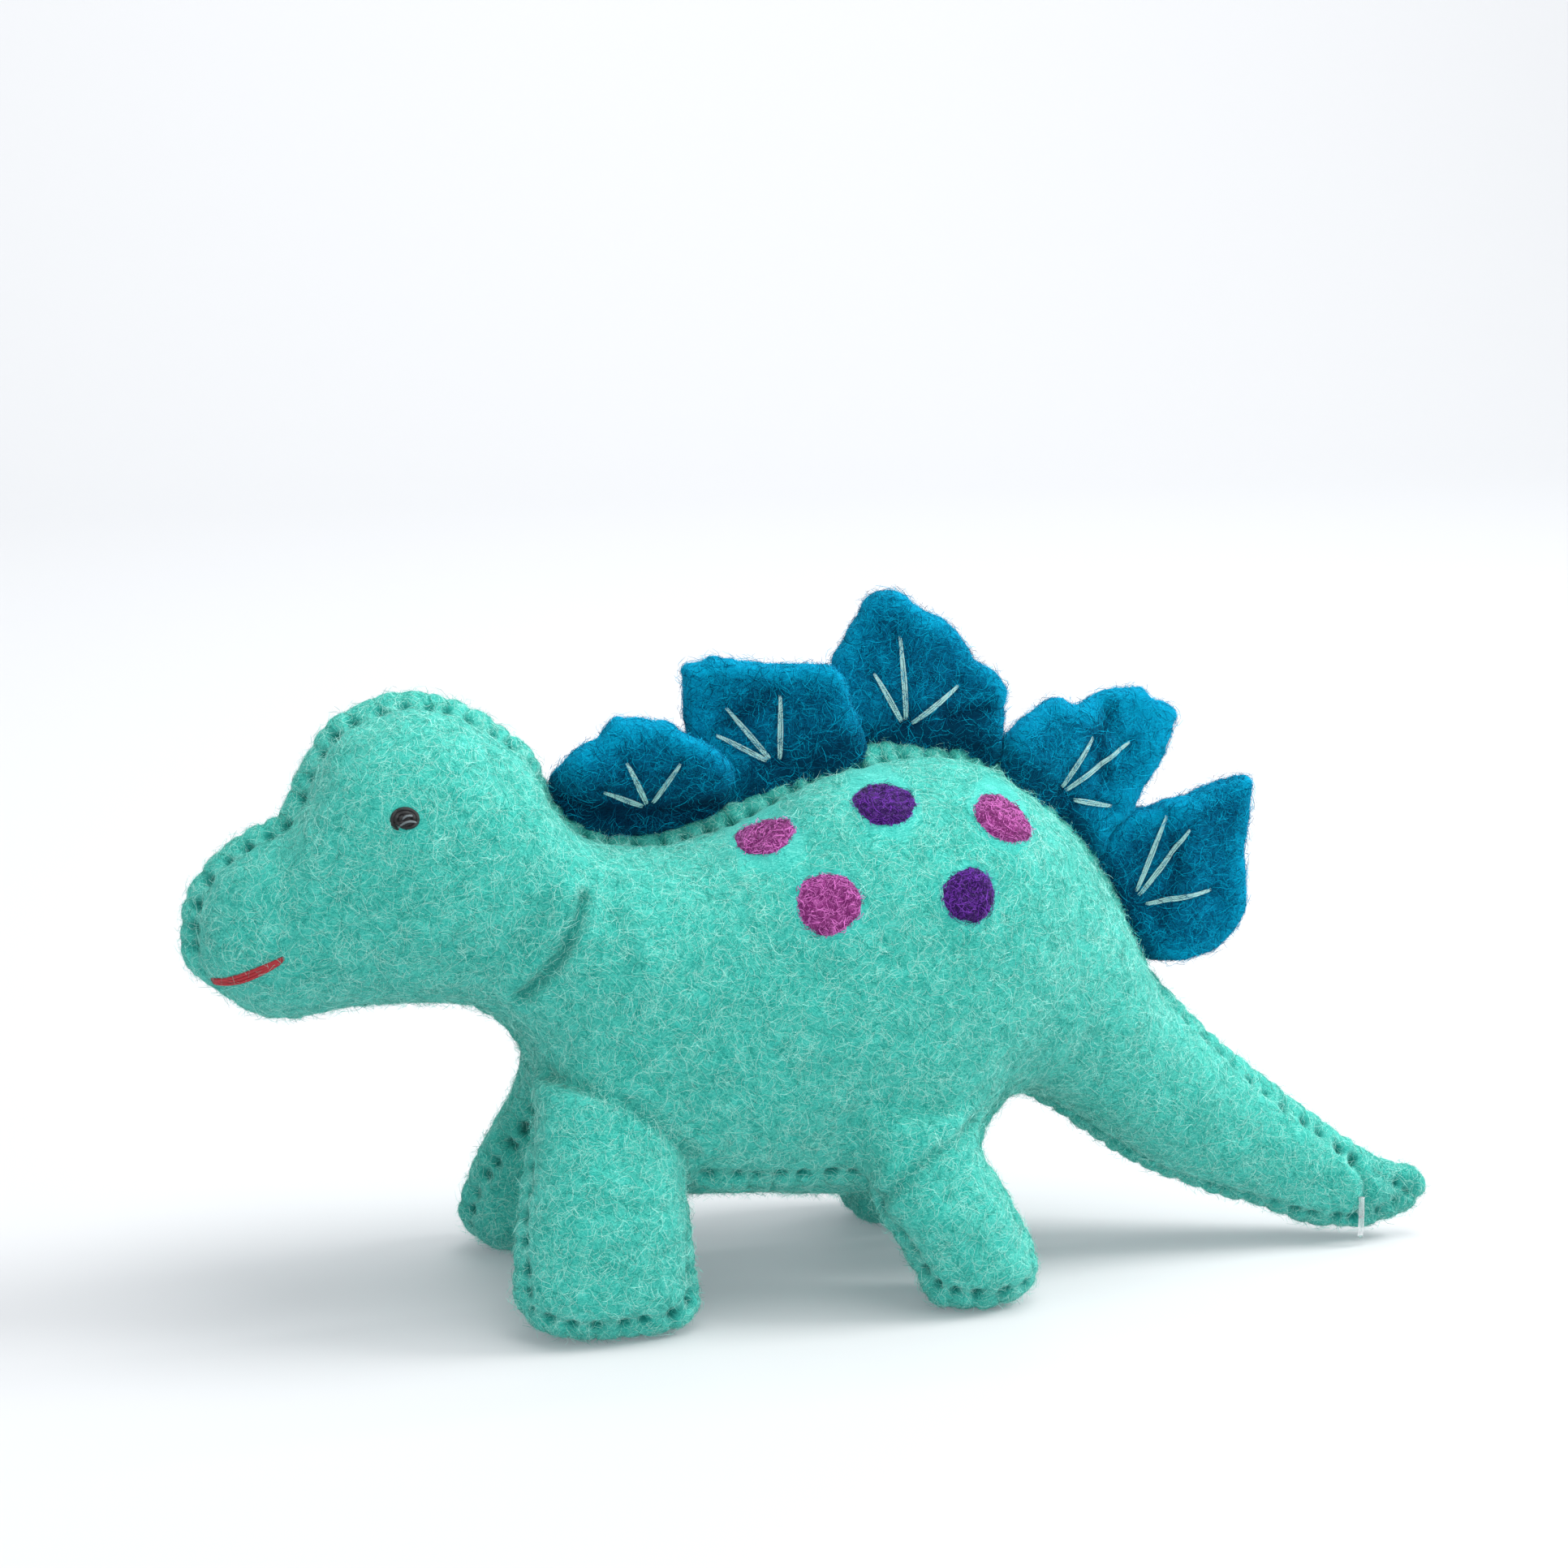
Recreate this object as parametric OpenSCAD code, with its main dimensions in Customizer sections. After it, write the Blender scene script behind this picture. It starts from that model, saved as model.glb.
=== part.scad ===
// A small handmade stuffed dinosaur in wool felt, with five soft plates along its back.
// Millimetres, +Z up, the floor is z = 0. The head points to -X and the tail to +X.
// The mid-plane is y = 0, and the animal's left side is at -Y.

/* [Body] */
// Thickness of the mint felt
felt = 1.6; // [1.2:0.1:2.2]
// How square the body's cross-section is: 2 is an ellipse
body_squareness = 2.35; // [2:0.05:2.8]
// Gap between the stuffing and the felt, and between pieces that move apart
clearance = 0.4; // [0.3:0.05:0.6]
// Half the greatest width of the belly gusset
gusset_half_w = 20; // [16:0.5:22]

/* [Bends] */
// Lean of the neck crease from the vertical, in degrees
neck_lean = 26; // [20:1:30]
// Radius of the rounded end of the head's stuffing, about the neck crease
neck_r = 14.5; // [12:0.5:15]
// Where the tail bends, along X
tail_x = 63; // [62:0.5:65]
// Radius of the rounded end of the tail's stuffing
tail_r = 8.5; // [6:0.5:9]
// Radius of the front hips
front_hip_r = 15; // [14:0.25:15.5]
// Radius of the hind hips
hind_hip_r = 12.5; // [12:0.25:13]

/* [Plates] */
// Thickness of a plate in its padded middle
plate_t = 5; // [4:0.25:6]
// Thickness of a plate at its rim
plate_rim_t = 2.4; // [2:0.1:3]
// Radius of the rolled lower edge that each plate turns about
plate_root_r = 1.2; // [1:0.1:1.4]
// Radius of the pale thread of the veins
vein_r = 0.6; // [0.4:0.05:0.8]

/* [Stitches] */
// Distance from one seam stitch to the next
stitch_pitch = 4.1; // [3.5:0.1:6]
// Length of a seam stitch across its seam
stitch_len = 4.4; // [3.5:0.1:5]
// Radius of the seam thread
thread_r = 0.5; // [0.4:0.05:0.6]

/* [Dots and face] */
// Thickness of a felted dot
dot_t = 1.2; // [0.8:0.1:1.6]
// Height of an eye
eye_h = 4.2; // [3.5:0.1:5]
// Length of the nylon tag pin's bar
tag_bar = 7.5; // [6:0.5:9]

/* [Hidden] */

mint = [0.36, 0.78, 0.70];
teal = [0.10, 0.45, 0.42];
blue = [0.02, 0.45, 0.62];
pink = [0.72, 0.28, 0.64];
purple = [0.30, 0.08, 0.50];
fibre = [0.93, 0.92, 0.88];

LEFT = -1;
RIGHT = 1;
FRONT = 0;
HIND = 1;
FAR = 300;          // larger than the whole object
BODY_SIDES = 20;    // points round a cross-section of the body
LEG_SIDES = 16;     // points round a cross-section of a leg
SEAM_GAP = 0.05;    // half the gap between two felt pieces that meet edge to edge

// The body, from nose to tail tip: [x, y of the middle, z of the belly, z of the back, half width]
body = [
    [-109.5, 0, 62.5, 69.5, 2.5],
    [-108, 0, 60, 74, 7],
    [-104.5, 0, 56.5, 79, 11.5],
    [-99, 0, 52.5, 82.8, 14.5],
    [-93, 0, 51.3, 86, 16.5],
    [-87.5, 0, 52, 96, 18],
    [-82, 0, 52.7, 102, 19.5],
    [-73, 0, 52.8, 105, 20.5],
    [-65, 0, 52.6, 104, 20.5],
    [-59, 0, 50, 100.6, 20],
    [-54.5, 0, 45, 97.7, 19.5],
    [-51, 0, 37, 94.5, 20],
    [-47.5, 0, 28, 88, 22],
    [-43, 0, 22, 82.8, 24.5],
    [-36, 0, 18, 80.7, 27],
    [-27, 0, 15.8, 80.4, 28.5],
    [-16, 0, 14.5, 83, 29.5],
    [-4, 0, 14, 89.3, 30],
    [8, 0, 13.5, 92.2, 30],
    [20, 0, 16, 92.6, 29],
    [29, 0, 25, 90.6, 27],
    [36, 0, 27.5, 85.5, 24.5],
    [44, 0, 25, 77.8, 20.5],
    [52, -0.3, 20.2, 65.3, 17.5],
    [60, -0.8, 15, 50.2, 14.5],
    [70, -2, 10.4, 38.8, 11.5],
    [80, -3.6, 7.2, 30.2, 9],
    [90, -5.4, 3.6, 22.6, 7.2],
    [100, -7.2, 2.6, 15.8, 5.5],
    [107, -8.4, 4, 12.9, 3.8],
    [110.5, -9, 7.5, 11.8, 1.6]
];

// The legs, from the sole up: [z, x of the middle, half length, y of the middle, half width]
front_leg = [
    [0, -41.5, 10.5, 24, 6.5],
    [2, -42.5, 13.5, 24, 8.6],
    [6, -43.5, 15.2, 24, 9.8],
    [13, -43.8, 15, 24, 10],
    [21, -43.3, 14.6, 23.2, 10],
    [28, -43, 14.2, 21, 10],
    [35, -43, 13.5, 18.6, 9.6],
    [42, -43, 12.5, 16, 9.4]
];
hind_leg = [
    [0, 19.5, 7, 24, 6.5],
    [2, 20.2, 9.6, 24, 8.6],
    [6, 21, 10.8, 24, 9.8],
    [12, 18.6, 11.3, 24, 10],
    [18, 16.6, 12, 24, 10],
    [24, 16.3, 12, 22.8, 9.8],
    [30, 16.3, 11.5, 21.5, 9.4],
    [34, 16.3, 11, 20.5, 9.2]
];
// Each hip: [x, z, how far the foot reaches past its round top]
front_hip = [-43, 26, 1];
hind_hip = [16.5, 19.5, 3.5];
leg_sections = [front_leg, hind_leg];
hips = [front_hip, hind_hip];
hip_r = [front_hip_r, hind_hip_r];
foot_drop = 4;            // the foot's longer part starts this far under the hip
leg_seam_top = 20;        // a leg's edges are stitched up to this height
hip_inner_y = 13;         // the legs' stuffing reaches in to this far from the mid-plane

// The neck crease runs up through this point, in the mid-plane
neck_x = -51;
neck_z = 66;
neck_plug_h = 16;         // height of the rounded end of the head's stuffing
neck_wedge = 8;           // each side of the neck opens by this angle, so the head can turn
tail_plug = [22, 32];     // lower and upper end of the rounded end of the tail's stuffing
tail_wedge = 13;          // the same angle at the tail's bend

// The tail's seams lie in a slanting plane, which leaves the mid-plane here
tail_split_x = 59.4;
tail_slant = 0.175;

// Where the stitched seams begin and end, along X
back_seam = [-41, tail_x - 1.5];
throat_seam = [-54.6, -48];
rump_seam = [35, tail_x - 1.5];
crown_seam = [-109, -47];
chin_seam = [-109, -59];
tail_seam = [tail_x + 1.5, 109];
stitch_lean = 18;         // stitches lean from square to their seam by this angle

// The belly gusset lies under this height
gusset_top = 44;
// Its outline, as [x, share of its greatest half width]
gusset = [[-50, 0.25], [-44, 0.75], [-34, 0.97], [-20, 1], [5, 1], [18, 0.93], [27, 0.7], [33, 0.3]];

// The padding of a plate: [distance in from the rim, share of plate_t]
pad_steps = [[1, 0.75], [2.2, 1]];
web_r = 0.8;              // half the breadth of the strip that joins a plate to its rolled edge
web_h = 4;                // its height
web_inset = 0.12;         // it stops short of the rolled edge's ends by this share

// The plates: the two ends of the line each turns about, and its outline, as [x, z]
plate_axis = [
    [[-41, 84.6], [-19.5, 84.3]],
    [[-15.9, 86.6], [3.9, 94.9]],
    [[8.2, 96.2], [30.6, 93.8]],
    [[34.8, 91], [51.4, 73.6]],
    [[52.8, 70.2], [61.4, 53.6]]
];
plate_outline = [
    [[-43.2, 87.6], [-42.6, 95.5], [-39.5, 97.5], [-36.5, 100.3], [-30.5, 100.2], [-25, 98], [-21.2, 94],
     [-19.5, 89.5], [-19.5, 87], [-40.5, 86.4]],
    [[-17.6, 88], [-18.8, 94], [-23.5, 99.3], [-24.3, 108.3], [-16, 109.7], [-1, 107.8], [1.8, 105],
     [3.6, 99.5], [3.9, 97], [-15.6, 88.6]],
    [[6.9, 98.2], [4.9, 104], [3.8, 108.2], [5.5, 113], [9, 118.8], [12.3, 120], [18, 117.5], [24, 113.8],
     [27.2, 108.6], [31, 105.5], [31.6, 99.5], [31.2, 95.6], [8.5, 98]],
    [[34.4, 93.6], [37.2, 97], [42, 100], [50.8, 100], [56.8, 100.6], [62.5, 98], [64.5, 95], [61.3, 89.5],
     [58, 84], [55, 80.6], [52, 76.4], [36.6, 92.4]],
    [[54, 73.4], [57.4, 78], [63.3, 80.8], [70.8, 83.6], [76.4, 84.1], [77.8, 79.8], [76.7, 72.4],
     [77.1, 66.5], [76.2, 59.5], [71.5, 54.6], [63.4, 53.4], [54.8, 71]]
];
// Three veins on each plate, as [tip, root] in [x, z]
plate_veins = [
    [[[-35.8, 94], [-31.2, 88.2]], [[-26.4, 94], [-30.2, 88.6]], [[-39.2, 90.6], [-32.6, 88.2]]],
    [[[-17.3, 102.3], [-9.6, 94.6]], [[-7.9, 104], [-8, 95]], [[-17.6, 96.6], [-10.8, 93.6]]],
    [[[13.7, 113], [14.6, 101]], [[9, 107], [13.4, 100.6]], [[24.1, 105], [15.6, 100.8]]],
    [[[48.8, 94.4], [42.6, 88]], [[56, 93.4], [44, 87.4]], [[53, 83], [45.2, 86.4]]],
    [[[62.2, 77.4], [58.4, 70.2]], [[68, 77], [59.4, 69.2]], [[71, 66.2], [59.8, 67.6]]]
];

// The dots: [x, z, half length, half height, turn in degrees]
dot_shoulder = [-13.8, 81.6, 5.6, 3.7, 8];
dot_back = [6.1, 86.8, 5, 3.7, -5];
dot_rump = [26.1, 83.7, 5.2, 4.4, -35];
dot_flank = [-6.2, 72.6, 5.6, 5.5, 0];
dot_thigh = [18, 72.1, 5, 4.6, 20];
eye_at = [-74.7, 88];
eye_l = 5.5;
eye_t = 1.2;

// The mouth's stitch, as [x, z] of its two ends
mouth_from = [-104.6, 60.8];
mouth_to = [-94.5, 65.4];
mouth_r = 0.7;
mouth_lift = 0.35;

// The tag pin by the tail's tip: a bar, and the filament that holds it
tag_x = 97;
tag_z = [1.6, 5.4];       // lower end of the bar, and the filament's height
tag_r = [0.55, 0.3];      // radius of the bar and of the filament
tag_out = 0.8;            // the bar stands off the felt by this much
tag_in = 1.4;             // the filament goes into the felt by this much

// ---- curves ----

function catmull(a, b, c, d, t) =
    b + 0.5 * t * (c - a + t * (2 * a - 5 * b + 4 * c - d + t * (3 * (b - c) + d - a)));

function smooth_list(p, steps) = [
    for (i = [0 : len(p) - 2], k = [0 : steps - 1])
        catmull(p[max(i - 1, 0)], p[i], p[i + 1], p[min(i + 2, len(p) - 1)], k / steps),
    p[len(p) - 1]
];

function superpower(v, n) = sign(v) * pow(abs(v), 2 / n);

function around(sides, half_a, half_b, n) = [
    for (i = [0 : sides - 1])
        let (a = 360 * i / sides) [half_a * superpower(cos(a), n), half_b * superpower(sin(a), n)]
];

function lengths(path, i = 0, run = 0) =
    i == len(path) - 1 ? [run] : concat([run], lengths(path, i + 1, run + norm(path[i + 1] - path[i])));

function point_at(path, run, s) =
    let (i = max([for (k = [0 : len(path) - 2]) if (run[k] <= s) k]))
    path[i] + (path[i + 1] - path[i]) * (s - run[i]) / (run[i + 1] - run[i]);

// Value of column c of the body's table at x
body_fine = smooth_list(body, 3);
function body_at(x, c) = lookup(x, [for (s = body_fine) [s[0], s[c]]]);

// The point of the body's skin at x and z, on the given side
function side_point(x, z, side) =
    let (
        mid = (body_at(x, 3) + body_at(x, 2)) / 2,
        half_h = (body_at(x, 3) - body_at(x, 2)) / 2,
        share = pow(1 - pow(min(abs(z - mid) / half_h, 1), body_squareness), 1 / body_squareness)
    )
    [x, body_at(x, 1) + side * body_at(x, 4) * share, z];

// The height of the underside at x, y from the mid-plane
function belly_z(x, y) =
    let (
        mid = (body_at(x, 3) + body_at(x, 2)) / 2,
        half_h = (body_at(x, 3) - body_at(x, 2)) / 2,
        share = pow(1 - pow(min(abs(y) / body_at(x, 4), 1), body_squareness), 1 / body_squareness)
    )
    mid - half_h * share;

function side_normal(x, z, side) =
    let (
        p = side_point(x, z, side),
        px = side_point(x + 1, z, side),
        pz = side_point(x, z + 1, side),
        n = cross(px - p, pz - p)
    )
    -side * n / norm(n);

// ---- solids ----

// A closed solid through a list of rings, which all have the same number of points
module loft(rings) {
    sides = len(rings[0]);
    last = (len(rings) - 1) * sides;
    walls = [
        for (r = [0 : len(rings) - 2], i = [0 : sides - 1])
            let (a = r * sides + i, b = r * sides + (i + 1) % sides)
            each [[a, a + sides, b], [b, a + sides, b + sides]]
    ];
    start = [for (i = [0 : sides - 1]) i];
    end = [for (i = [sides - 1 : -1 : 0]) last + i];
    polyhedron(points = [for (ring = rings) each ring], faces = concat([start], walls, [end]));
}

// The whole body without legs, drawn in by inset
module body_solid(inset) {
    middle = (body[0][0] + body[len(body) - 1][0]) / 2;
    half = middle - body[0][0];
    loft([
        for (s = smooth_list(body, 2))
            let (
                x = middle + (s[0] - middle) * (1 - inset / half * pow((s[0] - middle) / half, 4)),
                half_w = max(s[4] - inset, 0.4),
                half_h = max((s[3] - s[2]) / 2 - inset, 0.4)
            )
            [
                for (p = around(BODY_SIDES, half_w, half_h, body_squareness))
                    [x, s[1] + p[0], (s[2] + s[3]) / 2 + p[1]]
            ]
    ]);
}

// One leg, drawn in by inset, on the given side
module leg_solid(leg, side, inset) {
    loft([
        for (s = smooth_list(leg_sections[leg], 2))
            let (z = max(s[0], inset))
            [
                for (p = around(LEG_SIDES, max(s[2] - inset, 1), max(s[4] - inset, 1), 2.5))
                    [s[1] + p[0], side * s[3] + p[1], z + (z == inset && inset > 0 ? s[0] * 0.01 : 0)]
            ]
    ]);
}

// Joins and cuts felt as one mesh
module felt_mesh() {
    resize([0, 0, 0]) children();
}

module half_space(side) {
    translate([-FAR, side > 0 ? SEAM_GAP : -FAR - SEAM_GAP, -FAR]) cube([2 * FAR, FAR, 2 * FAR]);
}

// Everything ahead of the neck crease, moved back by shift and turned about the crease
module ahead_of_neck(shift, turn = 0) {
    translate([neck_x, 0, neck_z]) rotate([0, neck_lean, 0]) rotate([0, 0, turn])
        translate([-FAR, -FAR, -FAR]) cube([FAR + shift, 2 * FAR, 2 * FAR]);
}

module behind_tail_bend(shift, turn = 0) {
    translate([tail_x, body_at(tail_x, 1), 0]) rotate([0, 0, turn])
        translate([shift, -FAR, -FAR]) cube([FAR, 2 * FAR, 2 * FAR]);
}

module neck_round(r, length) {
    translate([neck_x, 0, neck_z]) rotate([0, neck_lean, 0])
        cylinder(r = r, h = length, center = true, $fn = 64);
}

module tail_round(r, ends) {
    translate([tail_x, body_at(tail_x, 1), ends[0]]) cylinder(r = r, h = ends[1] - ends[0], $fn = 64);
}

// The space that a leg's top turns in, grown by gap
module hip_space(leg, side, gap) {
    inner_y = hip_inner_y - gap;
    translate([hips[leg][0], side > 0 ? FAR : -inner_y, hips[leg][1]]) rotate([90, 0, 0])
        cylinder(r = hip_r[leg] + gap, h = FAR - inner_y, $fn = 64);
}

module leg_box(leg, side, gap, half_len, top) {
    inner_y = hip_inner_y - gap;
    translate([hips[leg][0] - half_len, side > 0 ? inner_y : -FAR, -1])
        cube([2 * half_len, FAR - inner_y, top + 1]);
}

// The space of a whole leg: its round top, what hangs under it, and its longer foot
module leg_space(leg, side, gap) {
    hip_space(leg, side, gap);
    leg_box(leg, side, gap, hip_r[leg] + gap, hips[leg][1]);
    leg_box(leg, side, gap, hip_r[leg] + hips[leg][2] + gap, hips[leg][1] - foot_drop);
}

module all_leg_spaces(gap) {
    for (leg = [FRONT, HIND], side = [LEFT, RIGHT]) leg_space(leg, side, gap);
}

module gusset_prism(grow) {
    edge = smooth_list(gusset, 3);
    half_w = gusset_half_w + grow;
    translate([0, 0, -1]) linear_extrude(gusset_top + 1)
        polygon(concat([for (p = edge) [p[0], -p[1] * half_w]], [for (i = [len(edge) - 1 : -1 : 0])
            [edge[i][0], edge[i][1] * half_w]]));
}

module body_skin() {
    difference() {
        body_solid(0);
        body_solid(felt);
    }
}

module torso_zone() {
    difference() {
        translate([-FAR, -FAR, 0]) cube([2 * FAR, 2 * FAR, FAR]);
        ahead_of_neck(clearance / 2);
        behind_tail_bend(-clearance / 2);
        all_leg_spaces(clearance);
    }
}

// ---- torso ----

module side_panel(side) {
    color(mint) felt_mesh() difference() {
        intersection() {
            body_skin();
            half_space(side);
            torso_zone();
        }
        gusset_prism(SEAM_GAP);
    }
}

module belly_gusset() {
    color(mint) felt_mesh() intersection() {
        body_skin();
        gusset_prism(-SEAM_GAP);
        torso_zone();
    }
}

module torso_stuffing() {
    color(fibre) difference() {
        felt_mesh() difference() {
            body_solid(felt + clearance);
            for (half = [-1, 1]) {
                ahead_of_neck(clearance, half * neck_wedge);
                behind_tail_bend(-clearance, half * tail_wedge);
            }
            all_leg_spaces(1.5 * clearance);
        }
        neck_round(neck_r + clearance, FAR);
        tail_round(tail_r + clearance, [0, FAR]);
    }
}

// Short stitches across a seam that runs in a plane of constant y
module stitches(path) {
    run = lengths(path);
    count = floor(run[len(run) - 1] / stitch_pitch);
    for (k = [0 : count - 1]) {
        s = (k + 0.5) * run[len(run) - 1] / count;
        p = point_at(path, run, s);
        ahead = point_at(path, run, min(s + 0.5, run[len(run) - 1])) - point_at(path, run, max(s - 0.5, 0));
        translate(p) rotate([0, -atan2(ahead[2], ahead[0]), 0]) rotate([90, 0, stitch_lean])
            cylinder(r = thread_r, h = stitch_len, center = true, $fn = 24);
    }
}

// The seam along the back, column 3 of the body's table, or the underside, column 2
function seam(ends, column) = [
    for (s = body_fine)
        if (s[0] >= ends[0] && s[0] <= ends[1]) [s[0], s[1], s[column]]
];

module back_seam_thread() {
    color(teal) stitches(seam(back_seam, 3));
}

module under_seam_thread() {
    color(teal) {
        stitches(seam(throat_seam, 2));
        stitches(seam(rump_seam, 2));
    }
}

// The seam between a side panel and the gusset, between the front and hind legs
module belly_seam_thread(side) {
    from_x = front_hip[0] + front_hip_r + stitch_len / 2;
    to_x = hind_hip[0] - hind_hip_r - stitch_len / 2;
    count = floor((to_x - from_x) / stitch_pitch);
    color(teal) for (k = [0 : count]) {
        x = from_x + (to_x - from_x) * k / count;
        translate([x, side * gusset_half_w, belly_z(x, gusset_half_w)]) rotate([side * 45, 0, 0])
            rotate([90, 0, stitch_lean]) cylinder(r = thread_r, h = stitch_len, center = true, $fn = 24);
    }
}

// ---- dots, eyes and mouth ----

// Places its children on the skin of a side, with their Z along the surface's normal
module on_side(x, z, side, turn) {
    n = side_normal(x, z, side);
    translate(side_point(x, z, side)) rotate([0, acos(n[2]), atan2(n[1], n[0])])
        rotate([0, 0, -side * 90 + turn]) children();
}

module lens(half_a, half_b, thickness) {
    resize([2 * half_a, 2 * half_b, thickness]) intersection() {
        sphere(r = 10, $fn = 16);
        cylinder(r = 20, h = 20, $fn = 16);
    }
}

module dot(place, side, tint) {
    color(tint) on_side(place[0], place[1], side, side * place[4])
        translate([0, 0, SEAM_GAP]) lens(place[2], place[3], dot_t);
}

module eye(side) {
    color([0.08, 0.07, 0.09]) on_side(eye_at[0], eye_at[1], side, 0)
        translate([0, 0, SEAM_GAP]) lens(eye_l / 2, eye_h / 2, eye_t);
}

module mouth_thread(side) {
    lift = [0, side * mouth_lift, 0];
    from = side_point(mouth_from[0], mouth_from[1], side) + lift;
    to = side_point(mouth_to[0], mouth_to[1], side) + lift;
    along = to - from;
    color([0.75, 0.10, 0.15]) translate(from)
        rotate([0, acos(along[2] / norm(along)), atan2(along[1], along[0])])
            cylinder(r = mouth_r, h = norm(along), $fn = 24);
}

// ---- head and tail ----

module head_panel(side) {
    color(mint) felt_mesh() intersection() {
        body_skin();
        half_space(side);
        ahead_of_neck(-clearance / 2);
    }
}

module head_stuffing() {
    color(fibre) {
        felt_mesh() intersection() {
            body_solid(felt + clearance);
            ahead_of_neck(-clearance, neck_wedge);
            ahead_of_neck(-clearance, -neck_wedge);
        }
        neck_round(neck_r, neck_plug_h);
    }
}

module head_seam_thread() {
    color(teal) {
        stitches(seam(crown_seam, 3));
        stitches(seam(chin_seam, 2));
    }
}

module tail_panel(side) {
    color(mint) felt_mesh() intersection() {
        body_skin();
        multmatrix([[1, 0, 0, 0], [-tail_slant, 1, 0, tail_slant * tail_split_x], [0, 0, 1, 0]])
            half_space(side);
        behind_tail_bend(clearance / 2);
    }
}

module tail_stuffing() {
    color(fibre) {
        felt_mesh() intersection() {
            body_solid(felt + clearance);
            behind_tail_bend(clearance, tail_wedge);
            behind_tail_bend(clearance, -tail_wedge);
        }
        tail_round(tail_r, tail_plug);
    }
}

module tail_seam_thread() {
    color(teal) {
        stitches(seam(tail_seam, 3));
        stitches(seam(tail_seam, 2));
    }
}

module tag_pin() {
    y = side_point(tag_x, tag_z[1], LEFT)[1] - tag_out;
    color([0.9, 0.92, 0.93, 0.5]) {
        translate([tag_x, y, tag_z[0]]) cylinder(r = tag_r[0], h = tag_bar, $fn = 24);
        translate([tag_x, y, tag_z[1]]) rotate([-90, 0, 0])
            cylinder(r = tag_r[1], h = tag_out + tag_in, $fn = 24);
    }
}

// ---- legs ----

module leg_felt(leg, side, outer) {
    towards = outer ? side : -side;
    color(mint) felt_mesh() intersection() {
        difference() {
            leg_solid(leg, side, 0);
            leg_solid(leg, side, felt);
        }
        leg_space(leg, side, 0);
        translate([0, side * leg_sections[leg][0][3], 0]) half_space(towards);
    }
}

// The stuffing's top is round about the hip, and turns in the torso's stuffing
module leg_stuffing(leg, side) {
    color(fibre) intersection() {
        felt_mesh() leg_solid(leg, side, felt + clearance);
        leg_space(leg, side, -clearance);
    }
}

// The seam round a leg: down its front, under the sole and up its back
module leg_thread(leg, side) {
    y = side * leg_sections[leg][0][3];
    rows = [for (s = smooth_list(leg_sections[leg], 2)) if (s[0] < leg_seam_top) s];
    front = [for (i = [len(rows) - 1 : -1 : 0]) [rows[i][1] - rows[i][2], y, max(rows[i][0], thread_r)]];
    back = [for (s = rows) [s[1] + s[2], y, max(s[0], thread_r)]];
    color(teal) stitches(concat(front, back));
}

// ---- plates ----

// Turns an [x, z] outline upright, centred on the mid-plane
module upright(thickness) {
    rotate([90, 0, 0]) linear_extrude(thickness, center = true) children();
}

module plate(i) {
    start = plate_axis[i][0];
    along = plate_axis[i][1] - start;
    across = [-along[1], along[0]] / norm(along);
    color(blue) {
        felt_mesh() {
            upright(plate_rim_t) offset(1.2, $fn = 24) offset(-1.2) polygon(plate_outline[i]);
            for (step = pad_steps)
                upright(plate_t * step[1]) offset(-step[0], $fn = 24) polygon(plate_outline[i]);
            upright(plate_root_r) hull() {
                for (share = [web_inset, 1 - web_inset], rise = [0, web_h])
                    translate(start + along * share + across * rise) circle(web_r, $fn = 16);
            }
        }
        translate([start[0], 0, start[1]]) rotate([0, 90 - atan2(along[1], along[0]), 0])
            cylinder(r = plate_root_r, h = norm(along), $fn = 32);
    }
}

module plate_vein_set(i) {
    color([0.55, 0.80, 0.78]) for (vein = plate_veins[i], side = [LEFT, RIGHT]) {
        along = vein[0] - vein[1];
        translate([vein[1][0], side * plate_t / 2, vein[1][1]])
            rotate([0, 90 - atan2(along[1], along[0]), 0]) cylinder(r = vein_r, h = norm(along), $fn = 24);
    }
}

side_panel(LEFT);  // side_panel_left
side_panel(RIGHT);  // side_panel_right
belly_gusset();
torso_stuffing();
back_seam_thread();
under_seam_thread();
belly_seam_thread(LEFT);  // belly_seam_thread_left
belly_seam_thread(RIGHT);  // belly_seam_thread_right
dot(dot_shoulder, LEFT, pink);  // dot_shoulder_left
dot(dot_back, LEFT, purple);  // dot_back_left
dot(dot_rump, LEFT, pink);  // dot_rump_left
dot(dot_flank, LEFT, pink);  // dot_flank_left
dot(dot_thigh, LEFT, purple);  // dot_thigh_left
dot(dot_shoulder, RIGHT, pink);  // dot_shoulder_right
dot(dot_back, RIGHT, purple);  // dot_back_right
dot(dot_rump, RIGHT, pink);  // dot_rump_right
dot(dot_flank, RIGHT, pink);  // dot_flank_right
dot(dot_thigh, RIGHT, purple);  // dot_thigh_right
head_panel(LEFT);  // head_panel_left
head_panel(RIGHT);  // head_panel_right
head_stuffing();
head_seam_thread();
eye(LEFT);  // eye_left
eye(RIGHT);  // eye_right
mouth_thread(LEFT);  // mouth_thread_left
mouth_thread(RIGHT);  // mouth_thread_right
tail_panel(LEFT);  // tail_panel_left
tail_panel(RIGHT);  // tail_panel_right
tail_stuffing();
tail_seam_thread();
tag_pin();
leg_felt(FRONT, LEFT, true);  // leg_front_left_outer
leg_felt(FRONT, LEFT, false);  // leg_front_left_inner
leg_stuffing(FRONT, LEFT);  // leg_front_left_stuffing
leg_thread(FRONT, LEFT);  // leg_front_left_thread
leg_felt(FRONT, RIGHT, true);  // leg_front_right_outer
leg_felt(FRONT, RIGHT, false);  // leg_front_right_inner
leg_stuffing(FRONT, RIGHT);  // leg_front_right_stuffing
leg_thread(FRONT, RIGHT);  // leg_front_right_thread
leg_felt(HIND, LEFT, true);  // leg_hind_left_outer
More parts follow.
